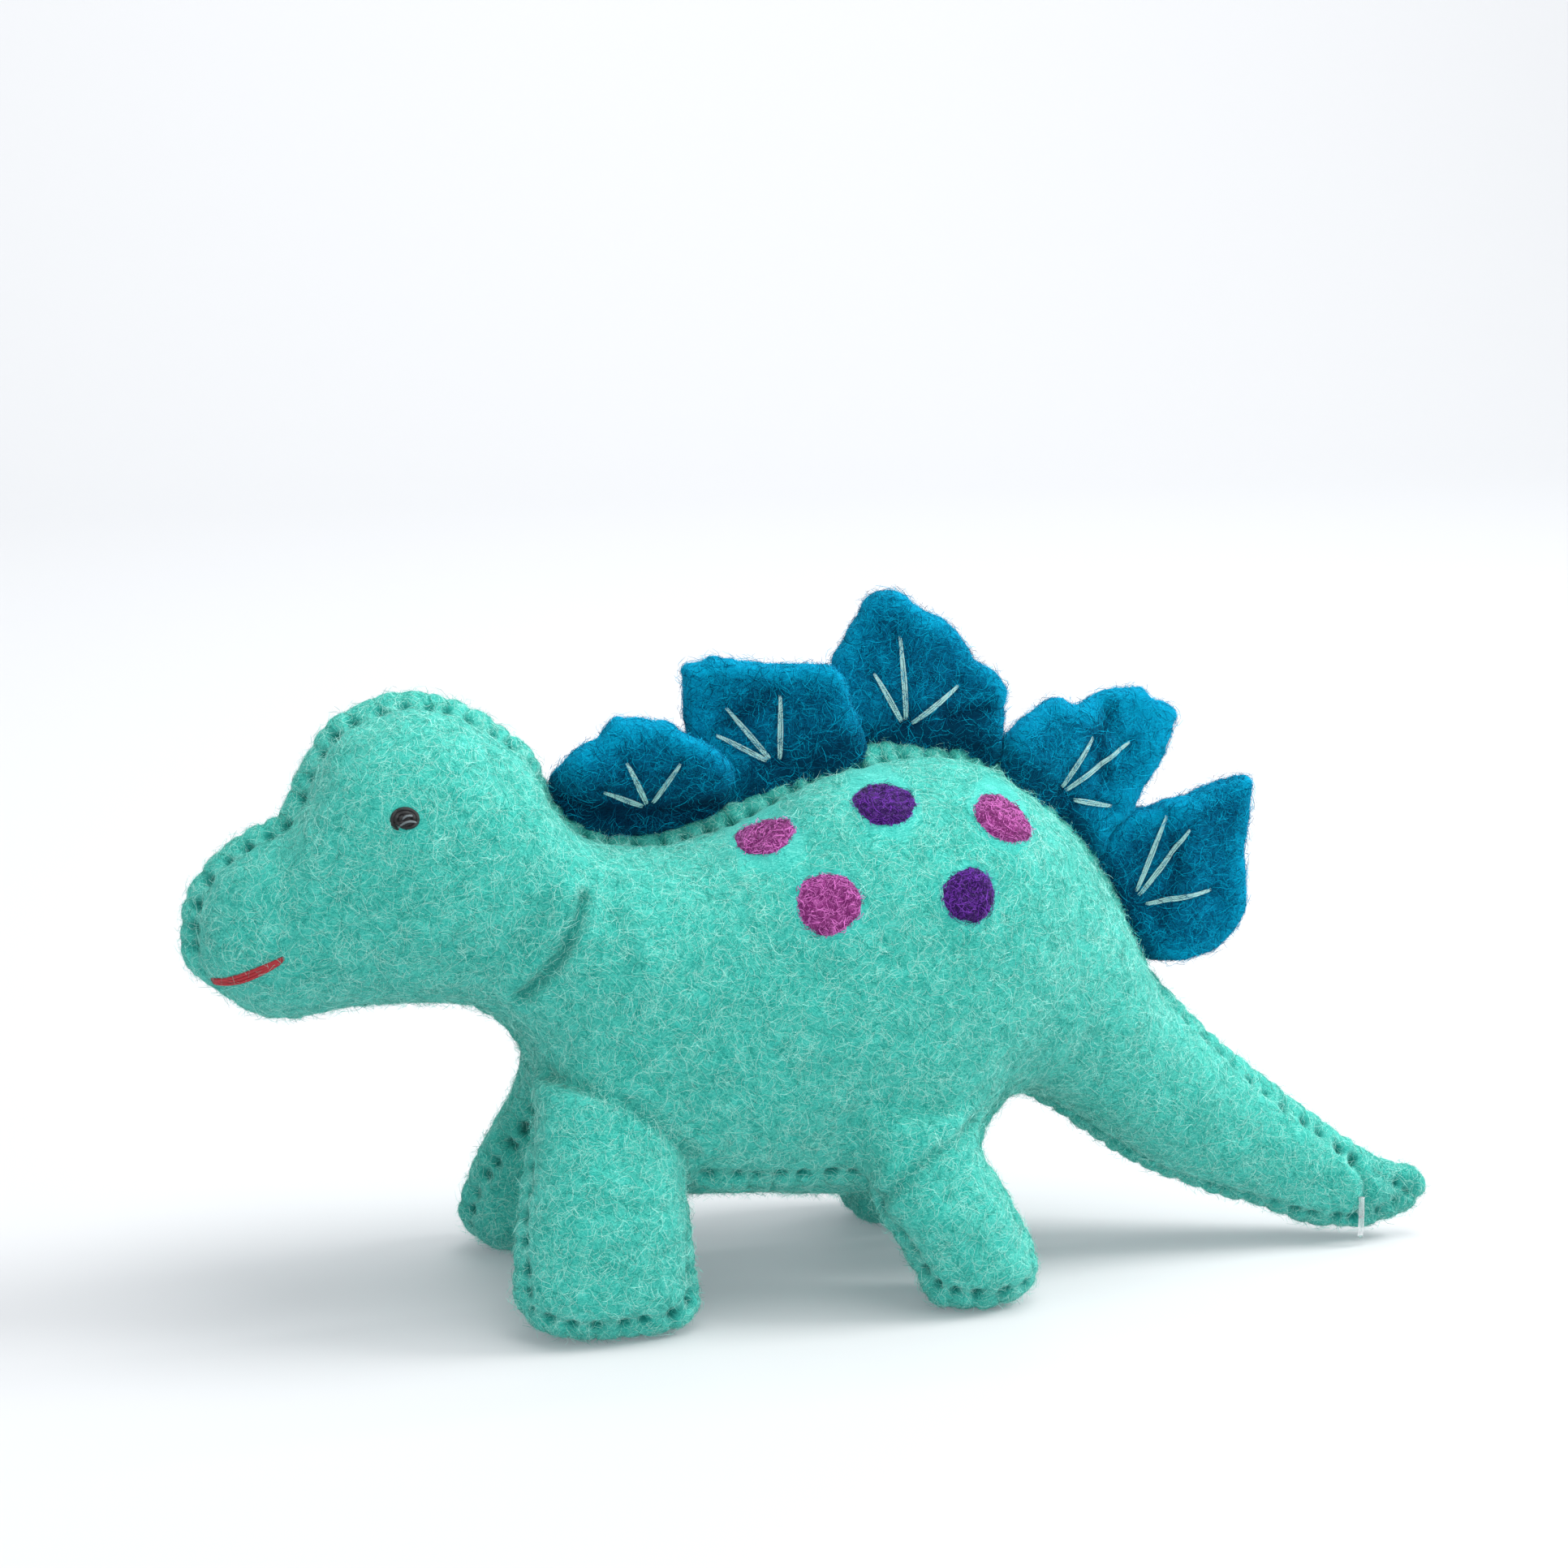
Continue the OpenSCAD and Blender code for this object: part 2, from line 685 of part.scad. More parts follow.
leg_felt(HIND, LEFT, false);  // leg_hind_left_inner
leg_stuffing(HIND, LEFT);  // leg_hind_left_stuffing
leg_thread(HIND, LEFT);  // leg_hind_left_thread
leg_felt(HIND, RIGHT, true);  // leg_hind_right_outer
leg_felt(HIND, RIGHT, false);  // leg_hind_right_inner
leg_stuffing(HIND, RIGHT);  // leg_hind_right_stuffing
leg_thread(HIND, RIGHT);  // leg_hind_right_thread
plate(0);  // plate_1
plate(1);  // plate_2
plate(2);  // plate_3
plate(3);  // plate_4
plate(4);  // plate_5
plate_vein_set(0);  // plate_1_veins
plate_vein_set(1);  // plate_2_veins
plate_vein_set(2);  // plate_3_veins
plate_vein_set(3);  // plate_4_veins
plate_vein_set(4);  // plate_5_veins
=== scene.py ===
import math

import bpy
import numpy as np
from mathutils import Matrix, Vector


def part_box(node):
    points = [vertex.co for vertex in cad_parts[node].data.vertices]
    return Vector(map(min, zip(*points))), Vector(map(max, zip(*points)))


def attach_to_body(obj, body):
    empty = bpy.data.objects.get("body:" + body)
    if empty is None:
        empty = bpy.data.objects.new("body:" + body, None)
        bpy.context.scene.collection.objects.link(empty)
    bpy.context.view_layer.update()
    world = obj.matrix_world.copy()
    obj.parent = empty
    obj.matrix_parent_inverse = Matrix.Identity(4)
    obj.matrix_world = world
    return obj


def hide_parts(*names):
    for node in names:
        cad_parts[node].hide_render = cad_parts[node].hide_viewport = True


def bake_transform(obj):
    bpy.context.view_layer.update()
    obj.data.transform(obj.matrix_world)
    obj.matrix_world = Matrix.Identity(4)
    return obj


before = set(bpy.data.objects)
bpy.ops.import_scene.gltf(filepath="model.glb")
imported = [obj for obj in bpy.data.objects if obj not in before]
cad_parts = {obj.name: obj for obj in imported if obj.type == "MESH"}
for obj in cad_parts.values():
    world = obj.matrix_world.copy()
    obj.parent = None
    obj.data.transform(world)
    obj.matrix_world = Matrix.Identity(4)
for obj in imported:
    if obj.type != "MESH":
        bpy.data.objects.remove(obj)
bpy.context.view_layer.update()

import openvdb
from mathutils import Vector
from mathutils.bvhtree import BVHTree
from mathutils.kdtree import KDTree

# The look of a small stuffed dinosaur in wool felt. Design values are in millimetres, as in the CAD model, with
# the head at -X, the animal's left side at -Y and the floor at z = 0; meshes are written in metres.
MM = 0.001
RNG = np.random.default_rng(12)

# ---- camera, light and floor


def link(obj):
    bpy.context.scene.collection.objects.link(obj)
    return obj


AIM = Vector((-7.75, -3.5, 88)) * MM
AZIMUTH, ELEVATION, DISTANCE = math.radians(-14), math.radians(11), 0.595
level = math.cos(ELEVATION)
back = Vector((math.sin(AZIMUTH) * level, -math.cos(AZIMUTH) * level, math.sin(ELEVATION)))
camera = link(bpy.data.objects.new("camera", bpy.data.cameras.new("camera")))
camera.data.lens = 80
camera.data.sensor_width = 36
camera.data.clip_start = 0.01
camera.location = AIM + back * DISTANCE
camera.rotation_euler = (-back).to_track_quat("-Z", "Y").to_euler()
bpy.context.scene.camera = camera


def set_inputs(shader, **values):
    """Sets a shader's own sockets; an underscore in a name stands for a space."""
    for key, value in values.items():
        shader.inputs[key.replace("_", " ")].default_value = value


def area_light(name, place, target, size, power):
    data = bpy.data.lights.new(name, "AREA")
    data.shape = "RECTANGLE"
    data.size, data.size_y = size
    data.energy = power
    light = link(bpy.data.objects.new(name, data))
    light.location = Vector(place)
    light.rotation_euler = (Vector(target) - Vector(place)).to_track_quat("-Z", "Y").to_euler()


area_light("key", (0.85, -0.1, 0.66), (0, 0, 0.04), (0.4, 0.4), 9.6)
area_light("top", (0.1, -0.15, 1.1), (0, 0, 0.03), (0.8, 0.8), 8.6)
area_light("front", (-0.25, -1.3, 0.4), (0, 0, 0.03), (1.0, 0.7), 4.2)
area_light("backdrop", (0.55, 0.7, 1.5), (0.4, 1.9, 0.8), (1.8, 0.6), 26)

world = bpy.data.worlds.new("studio")
world.use_nodes = True
set_inputs(world.node_tree.nodes["Background"], Color=(0.97, 0.98, 1.0, 1), Strength=0.6)
bpy.context.scene.world = world
bpy.context.scene.view_settings.view_transform = "Standard"


def make_mesh(name, points, faces, material, smooth=True, metres=MM):
    """A mesh object from points in millimetres and faces that all have the same number of corners."""
    faces = np.asarray(faces, np.int32)
    mesh = bpy.data.meshes.new(name)
    mesh.vertices.add(len(points))
    mesh.vertices.foreach_set("co", (np.asarray(points, np.float64) * metres).astype(np.float32).ravel())
    corners = faces.shape[1]
    mesh.loops.add(faces.size)
    mesh.loops.foreach_set("vertex_index", faces.ravel())
    mesh.polygons.add(len(faces))
    mesh.polygons.foreach_set("loop_start", np.arange(0, faces.size, corners, dtype=np.int32))
    mesh.update(calc_edges=True)
    mesh.polygons.foreach_set("use_smooth", np.full(len(faces), smooth))
    mesh.materials.append(material)
    mesh.update()
    return link(bpy.data.objects.new(name, mesh))


def store(obj, name, values):
    """Keeps a number or a vector with each vertex, for the materials."""
    values = np.asarray(values, np.float32)
    kind = "FLOAT" if values.ndim == 1 else "FLOAT_VECTOR"
    attribute = obj.data.attributes.new(name, kind, "POINT")
    attribute.data.foreach_set("value" if values.ndim == 1 else "vector", values.ravel())


# The floor runs back and curls up into a plain backdrop
floor_material = bpy.data.materials.new("studio_floor")
floor_material.use_nodes = True
floor_shader = floor_material.node_tree.nodes["Principled BSDF"]
set_inputs(floor_shader, Base_Color=(0.52, 0.52, 0.525, 1), Roughness=0.6, Specular_IOR_Level=0.2)
set_inputs(floor_shader, Emission_Color=(0.9, 1.0, 1.1, 1), Emission_Strength=0.15)
profile = [(-2.5, 0.0), (-1, 0), (0, 0), (1.2, 0)]
profile += [(1.2 + 0.8 * math.sin(a), 0.8 - 0.8 * math.cos(a)) for a in np.linspace(0.1, math.pi / 2, 14)]
profile += [(2.0, 3.5)]
sheet_points = [(x, y, z) for y, z in profile for x in (-4, -1, 1, 4)]
sheet_faces = [
    (r * 4 + c, r * 4 + c + 1, r * 4 + c + 5, r * 4 + c + 4) for r in range(len(profile) - 1) for c in range(3)
]
floor = make_mesh("studio_floor", np.array(sheet_points), sheet_faces, floor_material, metres=1)

# ---- small maths


def catmull(rows, steps):
    """The same smooth curve through a table's rows as the CAD model uses, with that many steps to a row."""
    rows = np.asarray(rows, float)
    out = []
    for i in range(len(rows) - 1):
        a, b = rows[max(i - 1, 0)], rows[i]
        c, d = rows[i + 1], rows[min(i + 2, len(rows) - 1)]
        for k in range(steps):
            t = k / steps
            out.append(b + 0.5 * t * (c - a + t * (2 * a - 5 * b + 4 * c - d + t * (3 * (b - c) + d - a))))
    out.append(rows[-1])
    return np.array(out)


def smooth_step(x, low, high):
    t = np.clip((x - low) / (high - low), 0, 1)
    return t * t * (3 - 2 * t)


def bell(x, width):
    return np.exp(-((x / width) ** 2))


def soft_min(a, b, k):
    h = np.clip(0.5 + 0.5 * (b - a) / k, 0, 1)
    return b + (a - b) * h - k * h * (1 - h)


def noise(points, size, seed):
    """Smooth noise from -1 to 1, whose lumps are about size across."""
    table = np.random.default_rng(seed).uniform(-1, 1, (32, 32, 32)).astype(np.float32)
    p = np.asarray(points) / size + 100.0
    base = np.floor(p).astype(int)
    f = p - base
    f = f * f * (3 - 2 * f)
    total = 0
    for corner in np.ndindex(2, 2, 2):
        weight = np.prod(np.where(corner, f, 1 - f), axis=1)
        total = total + weight * table[tuple(((base + corner) % 32).T)]
    return total


def flat_noise(flat, level, size, seed):
    """Smooth noise for points in a plane."""
    return noise(np.column_stack([flat, np.full(len(flat), level)]), size, seed)


def unit(v):
    return v / np.maximum(np.linalg.norm(v, axis=-1, keepdims=True), 1e-9)


def facing(v, axis):
    """The vector or its opposite, whichever points up that axis."""
    return v if v[axis] > 0 else -v


def resample(path, pitch):
    """The points of a path at an even pitch, and each one's distance along it."""
    path = np.asarray(path, float)
    run = np.concatenate([[0], np.cumsum(np.linalg.norm(np.diff(path, axis=0), axis=1))])
    at = np.linspace(0, run[-1], max(2, int(round(run[-1] / pitch)) + 1))
    return np.stack([np.interp(at, run, path[:, k]) for k in range(path.shape[1])], 1), at


def distance_to_lines(points, lines):
    """The distance in a plane from each point to the nearest of some line segments."""
    best = np.full(len(points), 1e9)
    for a, b in lines:
        a, b = np.asarray(a, float), np.asarray(b, float)
        t = np.clip(((points - a) @ (b - a)) / max((b - a) @ (b - a), 1e-9), 0, 1)
        best = np.minimum(best, np.linalg.norm(points - a - t[:, None] * (b - a), axis=1))
    return best


def to_distance(field, voxel):
    """Turns a field that is 0 on the surface into about its distance from the surface."""
    gx, gy, gz = np.gradient(field, voxel)
    return field / np.sqrt(gx * gx + gy * gy + gz * gz + 1e-6)


def surface_of(field, origin, voxel):
    """The mesh of a distance field's zero surface: points and four-cornered faces."""
    grid = openvdb.FloatGrid(3.0)
    grid.copyFromArray(np.clip(field / voxel, -3, 3).astype(np.float32))
    points, quads = grid.convertToQuads(isovalue=0.0)
    return np.asarray(points, float) * voxel + np.asarray(origin), np.asarray(quads, int)


def corner_normals(points, quads):
    a, b, c, d = (points[quads[:, k]] for k in range(4))
    face = np.cross(c - a, d - b)
    normals = np.zeros_like(points)
    for k in range(4):
        np.add.at(normals, quads[:, k], face)
    return unit(normals)


def face_areas(points, quads):
    """Twice the area of each face."""
    a, b, c, d = (points[quads[:, k]] for k in range(4))
    return np.linalg.norm(np.cross(c - a, d - b), axis=1)


def outline_lines(outline):
    """The sides of a closed outline, each as its two ends."""
    return list(zip(outline, np.roll(outline, -1, axis=0)))


def relax(points, quads, rounds, share=0.5):
    """Evens out a mesh by moving each point towards the middle of its faces."""
    for _ in range(rounds):
        middle = points[quads].mean(1)
        total, count = np.zeros_like(points), np.zeros(len(points))
        for k in range(4):
            np.add.at(total, quads[:, k], middle)
            np.add.at(count, quads[:, k], 1)
        points = points + share * (total / np.maximum(count, 1)[:, None] - points)
    return points


# ---- the body's shape

SQUARENESS = 2.35  # 2 would make the body's sections ellipses
LEG_SQUARENESS = 2.5
HIP_ROUNDING = 4.5
SOLE_ROUNDING = 1.6
# From nose to tail tip: x, y of the middle, z of the belly, z of the back, half width
BODY = [
    (-109.5, 0, 62.5, 69.5, 2.8), (-108, 0, 60, 74, 7), (-104.5, 0, 56.5, 79, 11.5),
    (-99, 0, 52.5, 82.8, 14.5), (-93, 0, 51.3, 86, 16.5), (-87.5, 0, 52, 96, 18), (-82, 0, 52.7, 102, 19.5),
    (-73, 0, 52.8, 105, 20.5), (-65, 0, 52.6, 104, 20.5), (-59, 0, 50, 100.6, 20), (-54.5, 0, 45, 97.7, 19.5),
    (-51, 0, 37, 94.5, 20), (-47.5, 0, 28, 88, 22), (-43, 0, 22, 82.8, 24.5), (-36, 0, 18, 80.7, 27),
    (-27, 0, 16.6, 80.4, 28.5), (-16, 0, 15.7, 83, 29.5), (-4, 0, 15.2, 89.3, 30), (8, 0, 14.8, 92.2, 30),
    (20, 0, 17.5, 92.6, 29), (28, 0, 27.5, 90.8, 27), (35, 0, 30, 86.3, 24.5), (44, 0, 25.8, 77.8, 20.5),
    (52, -0.3, 20.2, 65.3, 17.5), (60, -0.8, 15, 50.2, 14.5), (70, -2, 10.4, 38.8, 11.5), (80, -3.6, 7.2, 30.2, 9),
    (90, -5.4, 3.6, 22.6, 7.2), (98, -6.9, 2.8, 16.6, 5.6), (103, -7.8, 3.6, 14, 4.2),
    (107.5, -8.5, 5.6, 12.8, 2.8), (110.5, -9, 8.4, 12.2, 1.3),
]
# From the sole up: z, x of the middle, half length, y of the middle, half width
FRONT_LEG = [
    (0, -41.8, 9.5, 23, 4.2), (2, -42.5, 13, 23.4, 7.2), (6, -43.5, 15.2, 24, 9.8), (13, -43.8, 15, 24, 10),
    (21, -43.3, 14.6, 23.2, 10), (28, -42.4, 13.4, 21, 10), (35, -42, 12.6, 18.6, 9.6), (42, -42, 12, 16, 9.4),
]
HIND_LEG = [
    (0, 19.8, 6, 23, 4), (2, 20.2, 9.2, 23.4, 7), (6, 21, 10.8, 24, 9.8), (12, 18.6, 11.3, 24, 10),
    (18, 15.2, 11.8, 24, 10), (24, 12.4, 11.4, 22.8, 9.8), (30, 10.6, 10.4, 21.5, 9.4), (34, 9.5, 9.6, 20.5, 9.2),
]
fine_body = catmull(BODY, 8)


def body_at(x, column):
    return np.interp(x, fine_body[:, 0], fine_body[:, column])


def leg_field(leg, x, y, z):
    """How far a grid's points lie outside one pair of legs."""
    table = catmull(leg, 8)
    top = leg[-1][0]
    zz = np.clip(z, 0, top)
    middle, half_l, side, half_w = (np.interp(zz, table[:, 0], table[:, k]) for k in (1, 2, 3, 4))
    if leg is FRONT_LEG:
        # The far front leg stands slanted
        middle = middle + (y > 0) * (-2.5 + 6.0 * smooth_step(zz, 0, 34))
    u = np.abs(x - middle) / half_l
    v = np.abs(np.abs(y) - side) / half_w
    r = (u**LEG_SQUARENESS + v**LEG_SQUARENESS) ** (1 / LEG_SQUARENESS)
    field = to_distance((r - 1).astype(np.float32), VOXEL)
    field = -soft_min(-field, z + 0 * field, SOLE_ROUNDING)
    return np.maximum(field, z - top)


VOXEL = 0.6
SEAM_INSET = 0.8  # the skin starts this far in, so that the seams can stand proud of it
LOW = np.array([-114.0, -36.0, -3.0])
gx = np.arange(LOW[0], 116, VOXEL)[:, None, None]
gy = np.arange(LOW[1], 36, VOXEL)[None, :, None]
gz = np.arange(LOW[2], 110, VOXEL)[None, None, :]
ym, zb, zt, hw = (body_at(gx, k) for k in (1, 2, 3, 4))
u = np.abs(gy - ym) / hw
v = np.abs(gz - (zb + zt) / 2) / ((zt - zb) / 2)
field = ((u**SQUARENESS + v**SQUARENESS) ** (1 / SQUARENESS) - 1).astype(np.float32)
del u, v
field = to_distance(field, VOXEL)
field = -soft_min(-field, BODY[0][0] * -1 + gx + 0 * field, 2.5)
field = -soft_min(-field, BODY[-1][0] - gx + 0 * field, 1.5)
for leg in (FRONT_LEG, HIND_LEG):
    field = soft_min(field, leg_field(leg, gx, gy, gz), HIP_ROUNDING)
skin_points, skin_quads = surface_of(field + SEAM_INSET, LOW, VOXEL)
del field
skin_points = relax(skin_points, skin_quads, 2)

# ---- seams, creases and stuffing lumps

PITCH = 4.1  # from one stitch to the next
WELT_REACH = 2.2  # how far from the seam its raised edge reaches
PIT_AWAY, PIT_HALF_LENGTH, PIT_DEPTH = 3.3, 0.95, 2.1  # the dimple where a stitch enters the felt


def bvh_of(points, quads):
    return BVHTree.FromPolygons([tuple(p) for p in points], [tuple(q) for q in quads.tolist()])


def kd_of(points):
    tree = KDTree(len(points))
    for k, p in enumerate(points):
        tree.insert(Vector(p), k)
    tree.balance()
    return tree


def nearest(tree, point):
    """The nearest point of a surface, and its normal."""
    near, normal, _, _ = tree.find_nearest(Vector(point))
    return np.array(near[:]), np.array(normal[:])


def on_surface(tree, path):
    return np.array([nearest(tree, p)[0] for p in path])


def side_ray(tree, x, z, side):
    """Where a line across the toy, coming from one side, first meets a surface: the point and its normal."""
    return tree.ray_cast(Vector((x, side * 60, z)), Vector((0, -side, 0)))[:2]


base_tree = bvh_of(skin_points, skin_quads)
spine_x = fine_body[:, 0]
middle_y = fine_body[:, 1]
chin = [(x, 0, z) for x, z in zip(spine_x, fine_body[:, 2]) if x < -51][::-1]
crown = [(x, y, z) for x, y, z in zip(spine_x, middle_y, fine_body[:, 3])]
rump = [(x, y, z) for x, y, z in zip(spine_x, middle_y, fine_body[:, 2]) if x > 33][::-1]
seams = {"middle": chin + crown + rump}
# From the chest round the front foot, along the belly and round the hind foot to the rump, on the right side
UNDER = [
    (-50.5, 0, 37), (-53.5, 6, 36), (-56, 12, 31), (-57.5, 18, 24), (-58.4, 22, 17), (-59, 24, 12),
    (-57.4, 25, 5), (-53, 28, 2.2), (-41, 29, 1.8), (-31, 28, 2.4), (-28.4, 25, 6), (-28.3, 23.8, 13),
    (-28, 22, 18), (-23, 20.4, 20), (-10, 20, 19), (2, 20.4, 19), (5, 22.5, 19), (7, 24, 14), (9.6, 24.6, 8),
    (12.2, 27.5, 3), (20, 28.8, 2), (28.5, 28, 2.6), (31.8, 25, 7), (30, 24, 12), (28.6, 23.4, 18),
    (28.5, 20, 24), (30, 12, 27), (32, 5, 28), (34, 0, 28),
]
for side, name in ((-1, "left"), (1, "right")):
    seams["under_" + name] = catmull([(x, side * y, z) for x, y, z in UNDER], 6)
# Width, depth, and the line as x, z
CREASES = [
    (2.2, 1.5, [(-45.5, 73.5), (-48.1, 67.5), (-50.9, 62.2), (-55.5, 57)]),
    (2.2, 1.0, [(20, 32.5), (13.3, 29.2), (7.6, 26.1), (3.3, 20.7)]),
    (2.4, 0.8, [(-50.5, 42.5), (-41.8, 40.8), (-35, 36.2), (-28.1, 29.4)]),
    (1.8, 0.9, [(96.2, 15), (98.2, 11), (97.6, 5)]),
    (3.2, 0.4, [(-44, 76), (-40, 69), (-39.5, 62)]), (3.0, 0.35, [(-49, 80), (-52, 73), (-56, 66)]),
    (3.4, 0.4, [(43, 45), (39, 38), (35, 33)]), (3.0, 0.3, [(-56, 21), (-46, 24.5), (-34, 22.5)]),
]

seam_samples, seam_facts, stitches = [], [], []
for name, path in seams.items():
    path, _ = resample(path, 0.5)
    path = on_surface(base_tree, path)
    path, at = resample(path, 0.4)
    count = int(round(at[-1] / PITCH))
    own_pitch = at[-1] / count
    jitter = RNG.uniform(-0.7, 0.7, count)
    strength = RNG.uniform(0.6, 1.15, count)
    centres = (np.arange(count) + 0.5) * own_pitch + jitter
    for s in centres:
        k = int(np.argmin(np.abs(at - s)))
        stitches.append((name, path[k], unit(path[min(k + 3, len(path) - 1)] - path[max(k - 3, 0)])))
    gaps = np.abs(at[:, None] - centres[None, :])
    flat_part = (name != "middle") & (np.abs(path[:, 2] - 18) < 4) & (path[:, 0] > -28) & (path[:, 0] < 5)
    chin_part = (name == "middle") & (path[:, 2] < 60) & (path[:, 0] < -50)
    top_part = (name == "middle") & (path[:, 2] > 60)
    proud = np.where(flat_part, 0.35, np.where(chin_part, 0.6, 1.0 if name == "middle" else 0.8))
    proud = np.where(top_part & (path[:, 0] > -44), 1.35, proud)
    reach = np.where(top_part, 1.3, 1.1)
    seam_samples.append(path)
    seam_facts.append(np.stack([gaps.min(1), strength[gaps.argmin(1)], proud, reach], 1))
seam_samples = np.concatenate(seam_samples)
seam_facts = np.concatenate(seam_facts)
seam_tree = kd_of(seam_samples)
found = [seam_tree.find(Vector(p)) for p in skin_points]
seam_distance = np.array([f[2] for f in found])
seam_index = np.array([f[1] for f in found])
stitch_gap, strength, proud, reach = seam_facts[seam_index].T

normals = corner_normals(skin_points, skin_quads)
rest = skin_points.copy()
# The two edges of felt stand proud along a seam, pulled down at each stitch into a row of lumps
welt = bell(seam_distance, WELT_REACH) * proud
notch = 0.17 * strength * bell(stitch_gap, 0.8)
lift = (1.45 + 0.3 * noise(skin_points, 5, 8)) * welt * (1 - notch)
lift -= 0.35 * bell(seam_distance - 3.6, 1.3) * proud
pit = bell(seam_distance - PIT_AWAY, reach) * bell(stitch_gap, PIT_HALF_LENGTH) * strength
pit *= 1 - 0.5 * smooth_step(skin_points[:, 0], 97, 101)
pull = bell(stitch_gap, 0.45) * smooth_step(3.2 - seam_distance, 0, 1.2) * strength
lift -= PIT_DEPTH * pit + 0.3 * pull
back_edge = (proud > 1.2) * smooth_step(skin_points[:, 0], -10, 30)
# Painted shade: the felt is coloured darker in each stitch pit and where the thread pulls it in, and along the
# raised seam edges, most of all on the back seam; the tail tip is made darker too
shade = np.clip(2.5 * pit - 0.15 + 0.2 * pull, 0, 1)
shade = np.maximum(shade, (0.08 + 0.3 * back_edge) * welt)
shade = np.maximum(shade, 0.4 * smooth_step(skin_points[:, 0], 97.5, 99.5))
# Creases, where the stuffed felt folds: pressed in, and darkened with painted shade
for width, depth, line in CREASES:
    line, _ = resample(catmull(line, 6), 0.5)
    for side in (-1, 1):
        hits = [side_ray(base_tree, x, z, side)[0] for x, z in line]
        hits = np.array([h[:] for h in hits if h is not None])
        crease_tree = kd_of(hits)
        near = np.where(np.linalg.norm(skin_points - hits.mean(0), axis=1) < 30)[0]
        d = np.array([crease_tree.find(Vector(skin_points[k]))[2] for k in near])
        fold = bell(d, 0.6 * width)
        lift[near] += -depth * fold + 0.45 * depth * bell(d - width, width)
        shade[near] = np.maximum(shade[near], 0.42 * depth * fold)
# Lumps of stuffing, larger and deeper in the feet, which stay flat under the sole
lift += 0.55 * noise(rest, 17, 1) + 0.24 * noise(rest, 6, 2) + 0.12 * noise(rest, 2.2, 3)
lift += 0.55 * noise(rest, 5, 4) * (1 - smooth_step(rest[:, 2], 5, 12)) * (np.abs(rest[:, 0]) < 65)
lift = np.where(rest[:, 2] < 1.5, np.minimum(lift, rest[:, 2] * 0.4 + 0.05), lift)
skin_points = skin_points + normals * lift[:, None]
skin_points[:, 2] = np.maximum(skin_points[:, 2], 0.05)
skin_points = relax(skin_points, skin_quads, 1, 0.35)
normals = corner_normals(skin_points, skin_quads)
skin_tree = bvh_of(skin_points, skin_quads)

# ---- materials


def new_material(name):
    material = bpy.data.materials.new(name)
    material.use_nodes = True
    tree = material.node_tree
    return material, tree, tree.nodes["Principled BSDF"]


def add(tree, kind, **values):
    node = tree.nodes.new(kind)
    for key, value in values.items():
        if key in node.inputs:
            node.inputs[key].default_value = value
        else:
            setattr(node, key, value)
    return node


def vertex_values(tree, name, output="Fac"):
    return add(tree, "ShaderNodeAttribute", attribute_name=name).outputs[output]


def math_node(tree, operation, a, b):
    node = add(tree, "ShaderNodeMath", operation=operation)
    for socket, value in zip(node.inputs, (a, b)):
        if isinstance(value, (int, float)):
            socket.default_value = value
        else:
            tree.links.new(value, socket)
    return node.outputs[0]


def add_bump(tree, shader, height, strength, distance):
    bump = add(tree, "ShaderNodeBump", Strength=strength, Distance=distance)
    tree.links.new(height, bump.inputs["Height"])
    tree.links.new(bump.outputs["Normal"], shader.inputs["Normal"])


def ramp(tree, factor, stops):
    node = add(tree, "ShaderNodeValToRGB")
    while len(node.color_ramp.elements) < len(stops):
        node.color_ramp.elements.new(0.5)
    for element, (place, colour) in zip(node.color_ramp.elements, stops):
        element.position = place
        element.color = (*colour, 1)
    tree.links.new(factor, node.inputs["Fac"])
    return node.outputs["Color"]


def linear(rgb):
    return tuple((c / 255 / 12.92) if c < 10.3 else (((c / 255) + 0.055) / 1.055) ** 2.4 for c in rgb)


def streaks(tree, place, turn, along, across, seed):
    """Fine matted fibres that all lean one way, from 0 to 1."""
    mapping = add(tree, "ShaderNodeMapping")
    mapping.inputs["Location"].default_value = (seed, 2 * seed, 3 * seed)
    mapping.inputs["Rotation"].default_value = turn
    mapping.inputs["Scale"].default_value = (along, across, across)
    tree.links.new(place, mapping.inputs["Vector"])
    node = add(tree, "ShaderNodeTexNoise", Scale=1.0, Detail=3.0, Roughness=0.55, Distortion=0.6)
    tree.links.new(mapping.outputs[0], node.inputs["Vector"])
    return node.outputs["Fac"]


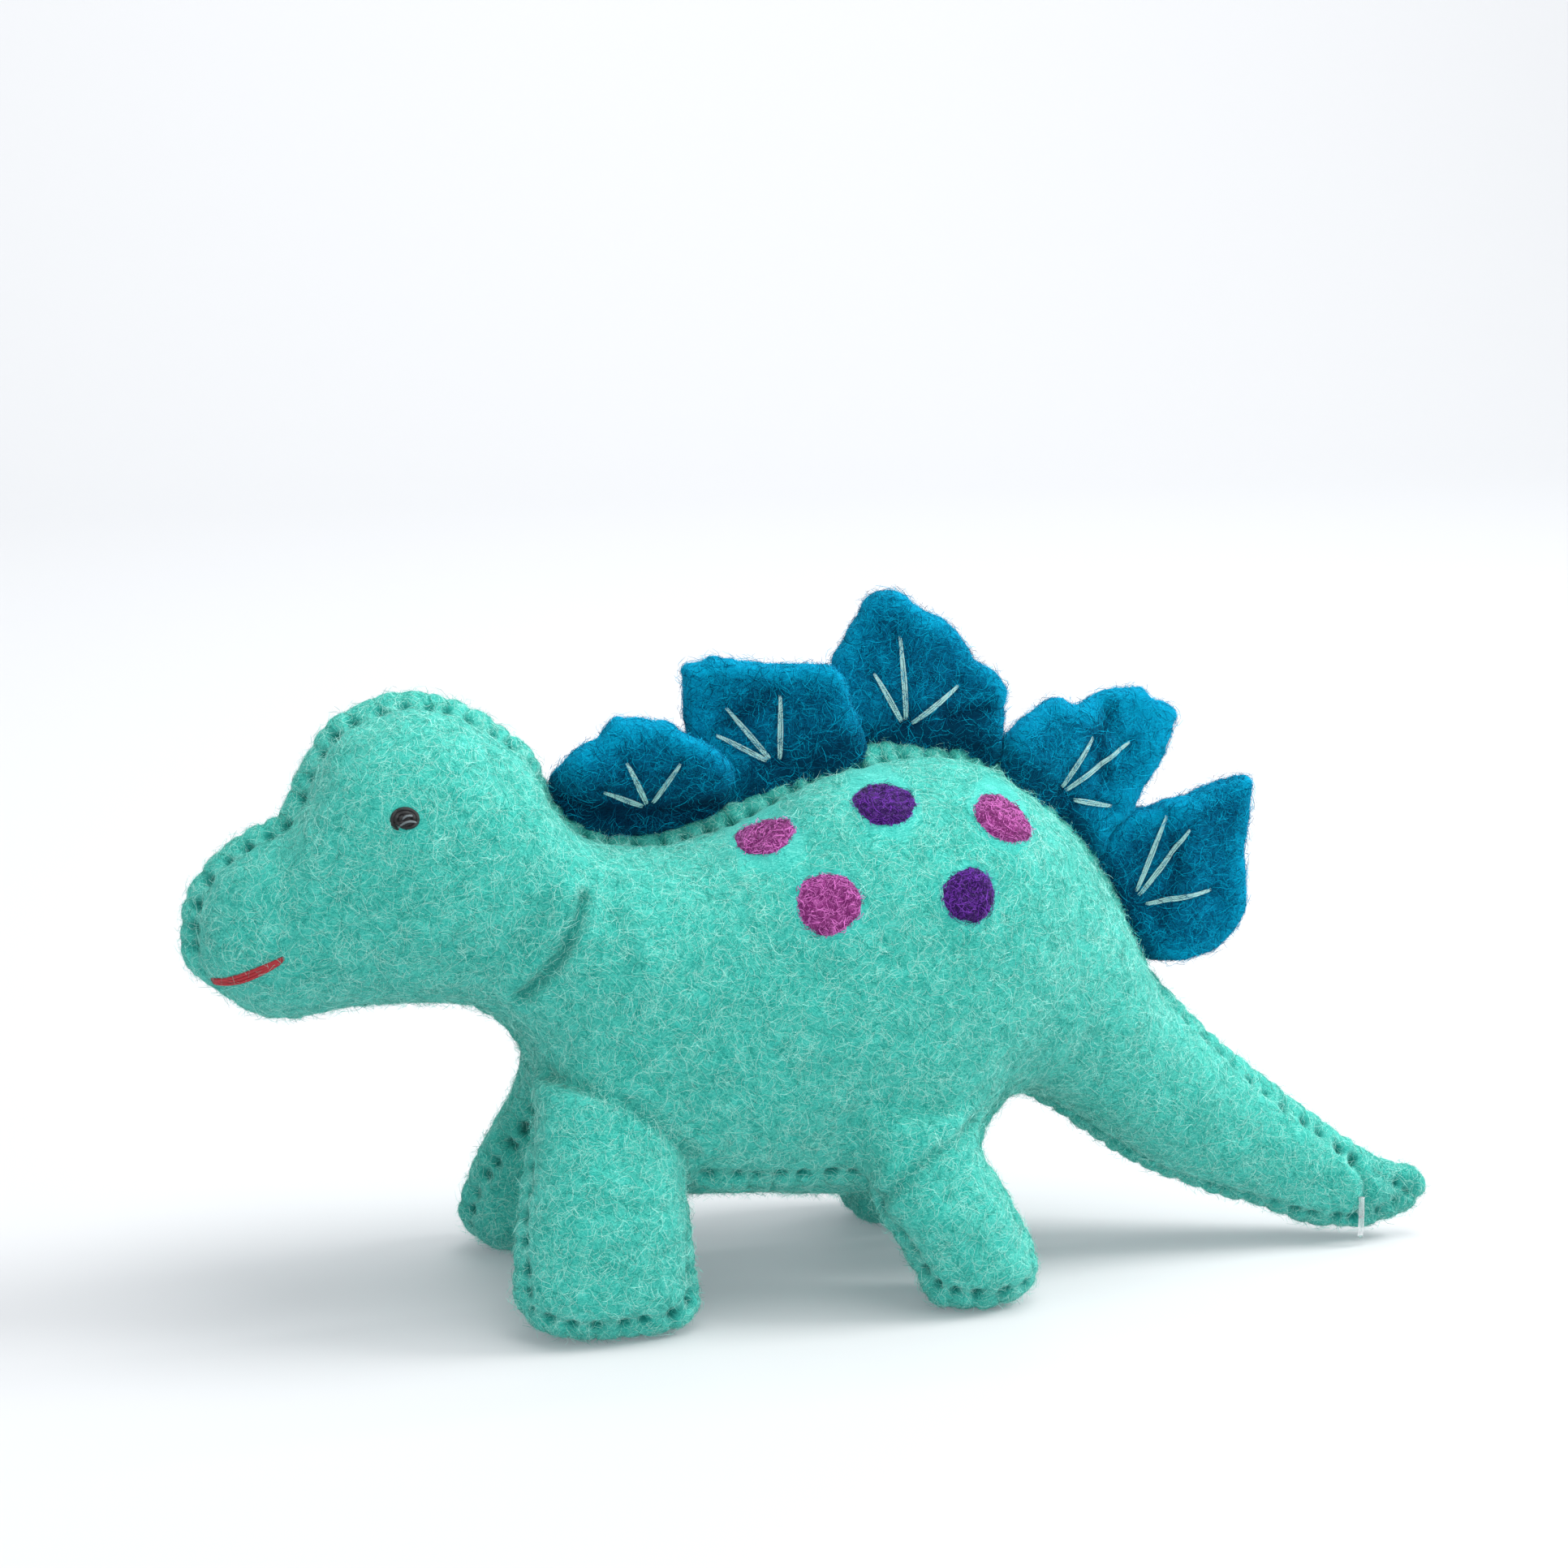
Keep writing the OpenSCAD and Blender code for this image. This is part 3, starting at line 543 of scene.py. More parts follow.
def felt(name, dark, middle, light, painted_shade_colour, bump=0.6, sheen=0.35):
    """Wool felt: mottled, with matted fibres; painted shade darkens it where the shade attribute asks, in stitch
    pits, creases, folds and at the plates' base, and a painted highlight with some random tone lightens it where a
    second attribute asks.
    """
    dark, middle, light, painted_shade_colour = (linear(rgb) for rgb in (dark, middle, light, painted_shade_colour))
    material, tree, shader = new_material(name)
    place, painted_shade = vertex_values(tree, "rest", "Vector"), vertex_values(tree, "shade")
    warp = add(tree, "ShaderNodeTexNoise", Scale=0.12, Detail=1.0)
    tree.links.new(place, warp.inputs["Vector"])
    bent = add(tree, "ShaderNodeVectorMath", operation="MULTIPLY_ADD")
    tree.links.new(warp.outputs["Color"], bent.inputs[0])
    bent.inputs[1].default_value = (9, 9, 9)
    tree.links.new(place, bent.inputs[2])
    fibres = None
    for turn, seed in (((0, 0.5, 0.4), 1.3), ((0.4, -0.7, 0.2), 7.7), ((0.2, 1.4, -0.5), 4.1)):
        layer = streaks(tree, bent.outputs[0], turn, 0.7, 5.5, seed)
        fibres = layer if fibres is None else math_node(tree, "MAXIMUM", fibres, layer)
    cloud = add(tree, "ShaderNodeTexNoise", Scale=0.35, Detail=4.0, Roughness=0.6)
    tree.links.new(place, cloud.inputs["Vector"])
    fine = add(tree, "ShaderNodeTexNoise", Scale=2.6, Detail=3.0, Roughness=0.7)
    tree.links.new(place, fine.inputs["Vector"])
    shares = ((fibres, 0.95), (cloud.outputs["Fac"], 0.26), (fine.outputs["Fac"], 0.4))
    # A painted highlight along the plate rims, with some random tone, lightens the felt
    light_and_tone = math_node(tree, "SUBTRACT", vertex_values(tree, "glow"), 0.42)
    for socket, share in shares:
        light_and_tone = math_node(tree, "ADD", light_and_tone, math_node(tree, "MULTIPLY", socket, share))
    colour = ramp(tree, light_and_tone, [(0.22, dark), (0.45, middle), (0.68, light)])
    # Painted shade: the shade attribute mixes the painted shade colour into the felt
    mix = add(tree, "ShaderNodeMix", data_type="RGBA", blend_type="MIX")
    tree.links.new(painted_shade, mix.inputs["Factor"])
    tree.links.new(colour, mix.inputs["A"])
    mix.inputs["B"].default_value = (*painted_shade_colour, 1)
    tree.links.new(mix.outputs["Result"], shader.inputs["Base Color"])
    height = math_node(tree, "ADD", fibres, math_node(tree, "MULTIPLY", fine.outputs["Fac"], 0.6))
    add_bump(tree, shader, height, bump, 0.0006)
    set_inputs(shader, Roughness=0.95, Specular_IOR_Level=0.05, Sheen_Weight=sheen, Sheen_Roughness=0.5)
    set_inputs(shader, Sheen_Tint=(*[0.5 + 0.5 * c for c in light], 1))
    return material


def plain(name, rgb, sheen=0.2):
    """One even tint, for fibres and thread, whose detail is in their shape."""
    material, _, shader = new_material(name)
    set_inputs(shader, Base_Color=(*linear(rgb), 1), Roughness=0.9, Specular_IOR_Level=0.06, Sheen_Weight=sheen)
    return material


def thread(name, rgb, twist=2.2, sheen=0.15):
    """Twisted thread: fine slanting strands of light and dark."""
    material, tree, shader = new_material(name)
    place = vertex_values(tree, "rest", "Vector")
    wave = add(tree, "ShaderNodeTexWave", Scale=twist, Distortion=1.5, Detail=2.0)
    wave.bands_direction = "DIAGONAL"
    tree.links.new(place, wave.inputs["Vector"])
    dark = tuple(0.6 * c for c in linear(rgb))
    light = tuple(min(1, 1.25 * c + 0.01) for c in linear(rgb))
    tree.links.new(ramp(tree, wave.outputs["Fac"], [(0.2, dark), (0.8, light)]), shader.inputs["Base Color"])
    add_bump(tree, shader, wave.outputs["Fac"], 0.5, 0.0001)
    set_inputs(shader, Roughness=0.6, Sheen_Weight=sheen)
    return material


# Each felt's last colour is the painted shade colour for its hollows
mint = felt("mint_felt", (16, 142, 130), (58, 192, 178), (124, 232, 218), (0, 112, 104))
blue = felt("blue_felt", (0, 56, 86), (0, 104, 142), (0, 156, 196), (0, 38, 66), sheen=0.02)
pink_wool = felt("pink_wool", (104, 26, 92), (160, 56, 142), (212, 122, 196), (90, 20, 80), bump=0.9)
purple_wool = felt("purple_wool", (34, 4, 70), (66, 16, 112), (112, 60, 160), (30, 4, 60), bump=0.9)
teal_thread = thread("teal_thread", (44, 172, 156))
pale_thread = thread("pale_thread", (176, 228, 226), 3.0)
red_thread = thread("red_thread", (172, 18, 36), 2.6, 0.04)
# Grey thread for the painted glint on the eyes
glint_thread = thread("worn_black_thread", (104, 116, 120), 4.0, 0.1)
black_thread = thread("black_thread", (13, 14, 18), 3.0, 0.03)

# ---- the skin's pieces

# The skin is cut into zones at the neck, at the root of the tail, and at each lower leg
NECK, NECK_SLANT = np.array([-51.0, 0, 66]), math.radians(26)
FORWARD = np.array([-math.cos(NECK_SLANT), 0, math.sin(NECK_SLANT)])
NECK_BACK, NECK_AHEAD = NECK - 10 * FORWARD, NECK + 9 * FORWARD
TAIL_FROM, TAIL_TO = np.array([55.0, 0, 30]), np.array([71.0, 0, 30])
# How far back a leg's own skin reaches, how high, and where its bend ends
LEGS = {"front": (-27.0, 16.0, 2.0), "hind": (33.5, 14.2, 1.8)}


def zone_of(points):
    """Which part of the body each point is on: 0 torso, 1 head, 2 tail, 3 to 6 the lower legs."""
    x, y, z = points.T
    zone = np.zeros(len(points), int)
    zone[(points - NECK_BACK) @ FORWARD > 0] = 1
    zone[x > TAIL_FROM[0]] = 2
    front = (x < LEGS["front"][0]) & (z < LEGS["front"][1]) & (np.abs(y) > 11)
    hind = (x > 2) & (x < LEGS["hind"][0]) & (z < LEGS["hind"][1]) & (np.abs(y) > 12.5)
    zone = np.where(front, 3 + (y > 0), zone)
    return np.where(hind, 5 + (y > 0), zone)


ZONE_BODY = ["torso", "head", "tail", "leg_front_left", "leg_front_right", "leg_hind_left", "leg_hind_right"]


def attach(obj, zone):
    """Lets a piece of the torso ride on it; a piece of any other zone has its placing baked into its mesh and stays
    where it is.
    """
    if zone == 0:
        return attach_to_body(obj, "torso")
    if zone == 1:
        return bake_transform(obj)
    if zone == 2:
        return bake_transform(obj)
    kind, x = ("front", -43) if zone < 5 else ("hind", 18)
    _, top, bottom = LEGS[kind]
    top -= 0.6
    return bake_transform(obj)


def cut_out(faces, count):
    """The given faces with only their own points: the points kept, and the faces renumbered."""
    used = np.unique(faces)
    renumber = np.full(count, -1)
    renumber[used] = np.arange(len(used))
    return used, renumber[faces]


centre = skin_points[skin_quads].mean(1)
zones = zone_of(centre)
side_of = np.where(centre[:, 1] < np.interp(centre[:, 0], spine_x, middle_y), "left", "right")
under = (zones == 0) & (centre[:, 2] < 21) & (np.abs(centre[:, 1]) < 20)
under &= (centre[:, 0] > -50) & (centre[:, 0] < 34)
skin_pieces = {}


def skin_piece(name, mask, zone, nodes):
    used, faces = cut_out(skin_quads[mask], len(skin_points))
    obj = make_mesh(name, skin_points[used], faces, mint)
    obj.data.normals_split_custom_set_from_vertices([tuple(n) for n in normals[used]])
    store(obj, "rest", rest[used])
    store(obj, "shade", shade[used])
    attach(obj, zone)
    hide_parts(*nodes)
    skin_pieces[name] = (obj, mask, zone)


for side in ("left", "right"):
    own = side_of == side
    skin_piece("side_panel_felt_" + side, own & (zones == 0) & ~under, 0, ["side_panel_" + side])
    skin_piece("head_felt_" + side, own & (zones == 1), 1, ["head_panel_" + side])
    skin_piece("tail_felt_" + side, own & (zones == 2), 2, ["tail_panel_" + side])
    for kind in ("front", "hind"):
        leg = f"leg_{kind}_{side}"
        zone = ZONE_BODY.index(leg)
        outer = np.abs(centre[:, 1]) > 24
        skin_piece(leg + "_felt_outer", (zones == zone) & outer, zone, [leg + "_outer"])
        skin_piece(leg + "_felt_inner", (zones == zone) & ~outer, zone, [leg + "_inner", leg + "_stuffing"])
skin_piece("belly_gusset_felt", under, 0, ["belly_gusset", "torso_stuffing"])
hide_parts("head_stuffing")
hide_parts("tail_stuffing")

# ---- stitches


def tube(path, radius, sides=6, up=None):
    """Points and faces of a tube along a path, closed at both ends."""
    path = np.asarray(path, float)
    tangent = unit(np.gradient(path, axis=0))
    up = np.array([0.31, 0.21, 0.93]) if up is None else np.asarray(up, float)
    side = unit(np.cross(tangent, up))
    other = np.cross(tangent, side)
    radius = np.broadcast_to(radius, len(path))
    angle = np.linspace(0, 2 * np.pi, sides, endpoint=False)
    ring = side[:, None, :] * np.cos(angle)[None, :, None] + other[:, None, :] * np.sin(angle)[None, :, None]
    points = (path[:, None, :] + ring * radius[:, None, None]).reshape(-1, 3)
    faces = []
    for r in range(len(path) - 1):
        for k in range(sides):
            a, b = r * sides + k, r * sides + (k + 1) % sides
            faces.append((a, b, b + sides, a + sides))
    last = (len(path) - 1) * sides
    for k in range(1, sides - 2, 2):
        faces.append((k + 2, k + 1, k, 0))
        faces.append((last, last + k, last + k + 1, last + k + 2))
    return points, faces


def gather(parts):
    """Joins several point and face lists into one."""
    points, faces, count = [], [], 0
    for p, f in parts:
        points.append(p)
        faces.append(np.asarray(f) + count)
        count += len(p)
    return np.concatenate(points), np.concatenate(faces)


def thread_mesh(name, parts, material):
    """One piece of thread from its tubes."""
    points, faces = gather(parts)
    obj = make_mesh(name, points, faces, material)
    store(obj, "rest", points)
    return obj


STITCH_RADIUS, STITCH_REACH = 0.17, 2.9  # how thick the thread shows, and how far it reaches to each side
stitch_parts = {}
for name, place, along in stitches:
    _, normal = nearest(skin_tree, place)
    across = unit(np.cross(along, normal))
    lean = along * RNG.uniform(0.1, 0.32)
    path = []
    for t in np.linspace(-1, 1, 9):
        near, near_n = nearest(skin_tree, place + (across + lean) * t * STITCH_REACH + normal * 1.5)
        path.append(near + near_n * (-0.04 if abs(t) < 0.9 else -0.6))
    if np.linalg.norm(np.diff(path, axis=0), axis=1).max() > 1.6:
        continue  # the stitch would jump across a corner between two legs
    zone = int(zone_of(np.array([place]))[0])
    if zone == 1:
        key = "head_seam_stitches"
    elif name != "middle":
        key = "belly_seam_stitches_" + name.split("_")[1] if zone == 0 else ZONE_BODY[zone] + "_stitches"
    elif zone == 2:
        key = "tail_seam_stitches"
    else:
        key = "back_seam_stitches" if place[2] > 45 else "under_seam_stitches"
    stitch_parts.setdefault(key, (zone, []))[1].append(tube(path, STITCH_RADIUS, up=normal))
for key, (zone, parts) in stitch_parts.items():
    obj = thread_mesh(key, parts, teal_thread)
    attach(obj, zone)
    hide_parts(key.replace("_stitches", "_thread"))

# ---- plates

# Each plate's outline, as x, z
PLATE_OUTLINE = [
    [(-48, 88), (-47.6, 90.4), (-45, 94), (-42.5, 96.2), (-40.2, 96.9), (-37.4, 99.8), (-35.5, 100.4),
     (-31, 99.8), (-28, 99.4), (-24, 97), (-19.6, 94), (-17.4, 90.6), (-17.2, 86), (-19, 83.2), (-25, 81.2),
     (-33, 80), (-40, 80.5), (-45, 83.5)],
    [(-17.6, 88), (-18.8, 93), (-22.4, 95.4), (-23.2, 97.3), (-23.4, 102.5), (-23.7, 107.6), (-23, 108),
     (-20.5, 108.3), (-18.6, 109.4), (-16.3, 108.9), (-7.7, 107.8), (-1, 108), (1.4, 107.4), (3, 104.8),
     (5, 99.2), (7, 93.5), (4, 89.5), (-7, 85.5), (-16, 82)],
    [(4.6, 92), (3.3, 99.8), (2.5, 106.4), (4.6, 111), (7.6, 116.4), (9.6, 118.4), (12.1, 119.1), (14.6, 118.6),
     (18.1, 116.4), (23.6, 112.8), (25.6, 110), (26.6, 107.8), (28.6, 106.6), (31, 105.2), (32, 102.6),
     (31.9, 99.3), (31.4, 92), (29, 88), (18, 89.5), (7, 89)],
    [(31.8, 92.2), (36.3, 96.9), (41.9, 99.8), (46, 98.6), (49.6, 99.9), (55, 100.9), (58.6, 100.8),
     (60.5, 98.6), (64.2, 97.4), (64.7, 95.2), (62.4, 91), (61, 88), (58.7, 83.8), (56.5, 79.6), (52.8, 76.4),
     (51.6, 73), (49, 68), (44, 73), (36, 82), (31.5, 87)],
    [(51, 73), (53, 76.5), (55.7, 79.1), (59.5, 80), (63.3, 81.2), (70.8, 83.5), (76, 84.6), (77.6, 84.6),
     (78.1, 82.6), (77.8, 79), (77, 72.4), (77.3, 66.5), (76.7, 59.5), (71.6, 54.3), (63.9, 52.5), (59.5, 52.8),
     (56, 54), (51, 62), (48.5, 69)],
]
# Each vein's tip and root
VEINS = [
    [((-35.8, 93.7), (-31.4, 85.2)), ((-26.2, 93.2), (-30.8, 85.4)), ((-39.6, 88.3), (-31.8, 85.1))],
    [((-17.3, 101.3), (-9.3, 91.6)), ((-7.9, 103.5), (-8, 91.4)), ((-19.1, 96.4), (-9.8, 91.6))],
    [((13.7, 112.8), (14.6, 97)), ((8.9, 106.2), (14.1, 97)), ((24.1, 103.9), (15.2, 96.8))],
    [((48.8, 93.8), (42.6, 84.2)), ((56.2, 92.5), (42.9, 83.6)), ((52.4, 80.9), (44.6, 82.4))],
    [((62.1, 79.8), (56.6, 64.6)), ((66.4, 77.1), (57, 64)), ((71, 65.4), (58, 62.8))],
]
# Folds across the plates, pressed into the felt and darkened with painted shade
FOLDS = [
    [((-45.5, 86), (-32, 83.6)), ((-32, 83.6), (-20, 84.6))], [((-16, 98), (-10, 103))],
    [((22, 98.5), (29, 99.5))],
    [((52.6, 98.4), (49.4, 92)), ((49.4, 92), (50.6, 86))], [((61.5, 60), (64, 70)), ((64, 70), (63, 75))],
]


def height_over_back(x, z):
    return z - np.interp(x, spine_x, fine_body[:, 3])


def plate_lean(i, x, z):
    """How far each point of plate i stands off the mid-plane: the plates curl and lean past each other."""
    up = height_over_back(x, z)
    if i == 0:
        return -0.3 - 3.3 * smooth_step(up, 1.5, 13) - 1.6 * smooth_step(x, -30, -18) * smooth_step(up, 1, 7)
    if i == 1:
        return 0.2 + 2.6 * smooth_step(-x, 6, 20) - 2.4 * smooth_step(x, -8, 4) + 0.7 * np.sin((z - 92) / 6.0)
    if i == 2:
        return 1.9 - 1.6 * smooth_step(x, 8, 20) + 2.2 * smooth_step(up, 6, 26) - 1.6 * smooth_step(x, 24, 32)
    if i == 3:
        fold = bell(x + 0.5 * (z - 92) - 53.5, 2.2) * smooth_step(z, 86, 94)
        curl = smooth_step(x + 0.4 * (z - 90), 52, 60) * smooth_step(z, 88, 98)
        return 0.8 + 2.2 * curl + 1.5 * fold - 1.8 * smooth_step(-x, -44, -34)
    return 0.6 - 2.0 * bell(x - 66, 6.0) - 1.5 * smooth_step(x, 68, 78)


def inside_outline(points, outline):
    x, z = points.T
    inside = np.zeros(len(points), bool)
    for (x0, z0), (x1, z1) in outline_lines(outline):
        crosses = (z0 > z) != (z1 > z)
        with np.errstate(divide="ignore", invalid="ignore"):
            inside ^= crosses & (x < x0 + (z - z0) * (x1 - x0) / np.where(z1 == z0, 1e-9, z1 - z0))
    return inside


def closed_curve(outline):
    """A smooth closed curve through an outline's points."""
    points = np.asarray(outline, float)
    looped = np.concatenate([points[-2:], points, points[:3]])
    fine = catmull(looped, 4)
    return fine[8 : 8 + 4 * len(points)]


PLATE_HALF_THICK = 2.55
EDGE_ROUNDING, EDGE_SQUARENESS = 3.0, 2.3
plate_meshes = []
for i, outline in enumerate(PLATE_OUTLINE):
    step = 0.5
    edge = closed_curve(outline)
    low = np.array([edge[:, 0].min() - 3, -9.0, edge[:, 1].min() - 3])
    px = np.arange(low[0], edge[:, 0].max() + 3, step)
    pz = np.arange(low[2], edge[:, 1].max() + 3, step)
    py = np.arange(low[1], 9.0, step)
    flat = np.stack(np.meshgrid(px, pz, indexing="ij"), -1).reshape(-1, 2)
    wobble = 0.35 * flat_noise(flat, 9.0 * i, 3.5, 20 + i) + 0.25 * flat_noise(flat, 9.0 * i, 1.6, 60 + i)
    to_edge = distance_to_lines(flat, outline_lines(edge))
    depth = np.where(inside_outline(flat, edge), to_edge, -to_edge) + wobble
    full = PLATE_HALF_THICK + 0.35 * flat_noise(flat, 5.0 * i, 7, 40 + i)
    full = full * (0.5 + 0.5 * smooth_step(height_over_back(flat[:, 0], flat[:, 1]), -1, 7))
    round_edge = 1 - (1 - np.clip(depth / EDGE_ROUNDING, 0, 1)) ** EDGE_SQUARENESS
    half_t = full * round_edge ** (1 / EDGE_SQUARENESS)
    half_t -= 0.75 * bell(distance_to_lines(flat, VEINS[i]), 1.1) * smooth_step(depth, 1, 3)
    half_t -= 0.8 * bell(distance_to_lines(flat, FOLDS[i]), 1.4) * smooth_step(depth, 0.5, 3)
    lean = plate_lean(i, flat[:, 0], flat[:, 1])
    lean += 0.5 * flat_noise(flat, 3.0 * i, 9, 80 + i)
    shape = (len(px), 1, len(pz))
    off = np.abs(py[None, :, None] - lean.reshape(shape))
    inner = off - half_t.reshape(shape)
    depth3 = depth.reshape(shape)
    outer = np.sqrt(off**2 + np.minimum(depth3, 0) ** 2)
    solid = to_distance(np.where(depth3 > 0, inner, outer).astype(np.float32), step)
    points, quads = surface_of(solid - 0.35, low, step)
    points = relax(points, quads, 2)
    plate_meshes.append((points, quads, edge))


def attach_plate(obj):
    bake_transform(obj)


plate_trees, plate_painted_light_and_tone = [], []
for i, (points, quads, edge) in enumerate(plate_meshes):
    tree_i = bvh_of(points, quads)
    plate_trees.append(tree_i)
    flat = points[:, [0, 2]]
    # Painted shade: darker towards the plate's base, where it meets the back, and along its veins and folds.
    # Painted highlight: lighter along the rim, with random tone, and plate 4 lighter all over. Together they also
    # pick the tints of the plate's fibres
    crease = bell(distance_to_lines(flat, VEINS[i]), 0.9)
    up = height_over_back(points[:, 0], points[:, 2])
    crease = np.maximum(crease, 1.6 * bell(distance_to_lines(flat, FOLDS[i]), 1.7))
    dark = np.clip(0.45 * crease + 0.85 * (1 - smooth_step(up, 0.5, 10)), 0, 1)
    rim = distance_to_lines(flat, outline_lines(edge))
    glow = 0.26 * bell(rim, 2.6) + 0.12 * noise(points, 9, 90 + i) + (0.12 if i == 3 else -0.02)
    plate_painted_light_and_tone.append((1.8 * glow - 0.8 * dark)[quads].mean(1))
    obj = make_mesh(f"plate_{i + 1}_pad", points, quads, blue)
    store(obj, "rest", points)
    store(obj, "shade", dark)
    store(obj, "glow", glow)
    attach_plate(obj)
    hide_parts(f"plate_{i + 1}")

VEIN_RADIUS = 0.16
for i, lines in enumerate(VEINS):
    parts = []
    for tip, root in np.array(lines):
        along = unit(tip - root)
        sideways = np.array([-along[1], along[0]])
        for strand in range(3):
            slip = (strand - 1) * 0.27
            for side in (-1, 1):
                path = []
                for t in np.linspace(0, 1, 12):
                    spread = slip * (0.5 + 0.8 * math.sin(math.pi * min(t + 0.1 * strand, 1)))
                    x, z = root + (tip - root) * t + sideways * spread
                    hit, _ = side_ray(plate_trees[i], x, z, side)
                    if hit is None:
                        continue
                    proud = 0.22 if 0.04 < t < 0.96 else -0.4
                    path.append((x, hit[1] + side * proud, z))
                if len(path) > 4:
                    at = np.linspace(0, 1, len(path))
                    thick = VEIN_RADIUS * np.minimum(1, 0.45 + 4 * np.minimum(at, at[::-1]))
                    parts.append(tube(path, thick, up=(0, 1, 0)))
    obj = thread_mesh(f"plate_{i + 1}_vein_thread", parts, pale_thread)
    attach_plate(obj)
    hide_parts(f"plate_{i + 1}_veins")

# ---- dots, eyes, mouth and tag pin

# x, z, half length, half height, turn in degrees, and tint
DOTS = {
    "shoulder": (-13.6, 81.1, 5.5, 4.6, 10, "pink"), "back": (6.6, 86.6, 5.2, 5.0, -14, "purple"),
    "rump": (26.8, 83.6, 5.9, 5.0, -42, "pink"), "flank": (-5.6, 71.9, 5.6, 5.5, 0, "pink"),
    "thigh": (18.6, 72.1, 4.9, 4.7, 20, "purple"),
}
DOT_WOOL = {"pink": pink_wool, "purple": purple_wool}
EYE = (-74.7, 88.2)


def skin_hit(x, z, side):
    hit, normal = side_ray(skin_tree, x, z, side)
    return np.array(hit[:]), np.array(normal[:])


SIDES = ((-1, "left"), (1, "right"))
rings, spokes = 9, 40
dot_meshes = []
for name, (cx, cz, half_l, half_h, turn, tint) in DOTS.items():
    for side, side_name in SIDES:
        hit, normal = skin_hit(cx, cz, side)
        across = facing(unit(np.cross(normal, (0, 0, 1.0))), 0)
        upward = facing(np.cross(across, normal), 2)
        t = math.radians(turn)
        points = [hit + normal * 0.75]
        for r in range(1, rings + 1):
            for k in range(spokes):
                a = 2 * math.pi * k / spokes
                wob = 1 + 0.035 * math.sin(3 * a + cx) + 0.025 * math.sin(5 * a + cz)
                wob += 0.02 * math.sin(9 * a + side)
                if name == "back":
                    wob *= 1 + 0.14 * math.cos(a - 3.0) ** 3 * (math.cos(a - 3.0) > 0)
                share = r / rings
                ca, sa = math.cos(a) * half_l * wob * share, math.sin(a) * half_h * wob * share
                dx, dz = ca * math.cos(t) - sa * math.sin(t), ca * math.sin(t) + sa * math.cos(t)
                near, near_n = nearest(skin_tree, hit + across * dx + upward * dz)
                points.append(near + near_n * (0.7 * (1 - share**3.5) - 0.25 * (share > 0.99)))
        points = np.array(points)
        points[1:] += 0.12 * noise(points[1:], 1.2, 5)[:, None] * normal
        faces = []
        for k in range(0, spokes, 2):
            faces.append((0, 1 + k, 1 + (k + 1) % spokes, 1 + (k + 2) % spokes))
        for r in range(rings - 1):
            for k in range(spokes):
                a, b = 1 + r * spokes + k, 1 + r * spokes + (k + 1) % spokes
                faces.append((a, a + spokes, b + spokes, b))
        if np.cross(points[2] - points[0], points[12] - points[0]) @ normal < 0:
            faces = [f[::-1] for f in faces]
        obj = make_mesh(f"wool_dot_{name}_{side_name}", points, faces, DOT_WOOL[tint])
        store(obj, "rest", points)
        store(obj, "shade", np.zeros(len(points)))
        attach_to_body(obj, "torso")
        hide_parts(f"dot_{name}_{side_name}")
        dot_meshes.append((obj.name, points, np.array(faces), tint))

EYE_TURNS = 2.7
for side, side_name in SIDES:
    # An eye is wound round and round in black thread
    hit, normal = skin_hit(*EYE, side)
    across = unit(np.array([1.0, 0, 0]) - normal * normal[0])
    upward = facing(np.cross(across, normal), 2)
    path = []
    for t in np.linspace(0, 1, 120):
        a = 2 * math.pi * EYE_TURNS * t + 0.4
        r = 0.22 + 0.78 * t
        wob = 1 + 0.05 * math.sin(2.3 * a)
        x, z = 2.5 * r * wob * math.cos(a), 1.85 * r * wob * math.sin(a)
        tucked = 1.2 * max(0, t - 0.93) / 0.07  # the end goes back into the felt
        proud = 0.75 - 0.75 * r**2 + 0.12 * math.sin(5 * a) - tucked
        path.append(hit + across * x + upward * z + normal * proud)
    parts = [tube(path, 0.36, up=normal)]
    for k in range(3):
        a = 0.5 + k * 1.1
        ray = across * (2.2 * math.cos(a)) + upward * (1.6 * math.sin(a))
        path = [hit + ray * t + normal * (0.7 - 0.75 * t * t) for t in np.linspace(-1, 1, 9)]
        parts.append(tube(path, 0.3, up=normal))
    # Painted glint: two grey strands laid over the black winding stand in for its highlight
    glint_strands = []
    for k, offset in enumerate((-0.45, 0.5)):
        path = []
        for t in np.linspace(-1, 1, 9):
            x, z = 1.5 * t * (1 - 0.2 * k) + 0.2, offset - 0.55 * t * t + 0.3 * t
            path.append(hit + across * x + upward * z + normal * (1.28 - 0.9 * t * t - 0.25 * offset * offset))
        glint_strands.append(tube(path, 0.19, up=normal))
    obj = thread_mesh("eye_worn_strands_" + side_name, glint_strands, glint_thread)
    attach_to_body(obj, "head")
    obj = thread_mesh("eye_winding_" + side_name, parts, black_thread)
    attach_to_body(obj, "head")
    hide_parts("eye_" + side_name)

    # The mouth is one straight stitch of doubled red thread
    parts = []
    for strand in range(3):
        path = []
        for t in np.linspace(0, 1, 14):
            x = -105.8 + 11.3 * t
            z = 60.0 + 5.2 * t**1.35 + (strand - 1) * 0.6 * math.sin(math.pi * min(1, 0.12 + t * 0.8))
            near, near_n = skin_hit(x, z, side)
            proud = 0.25 if 0.03 < t < 0.97 else -0.35
            path.append(near + near_n * proud)
        parts.append(tube(path, 0.34, up=(0, 1, 0)))
    obj = thread_mesh("mouth_stitch_" + side_name, parts, red_thread)
    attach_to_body(obj, "head")
    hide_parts("mouth_thread_" + side_name)

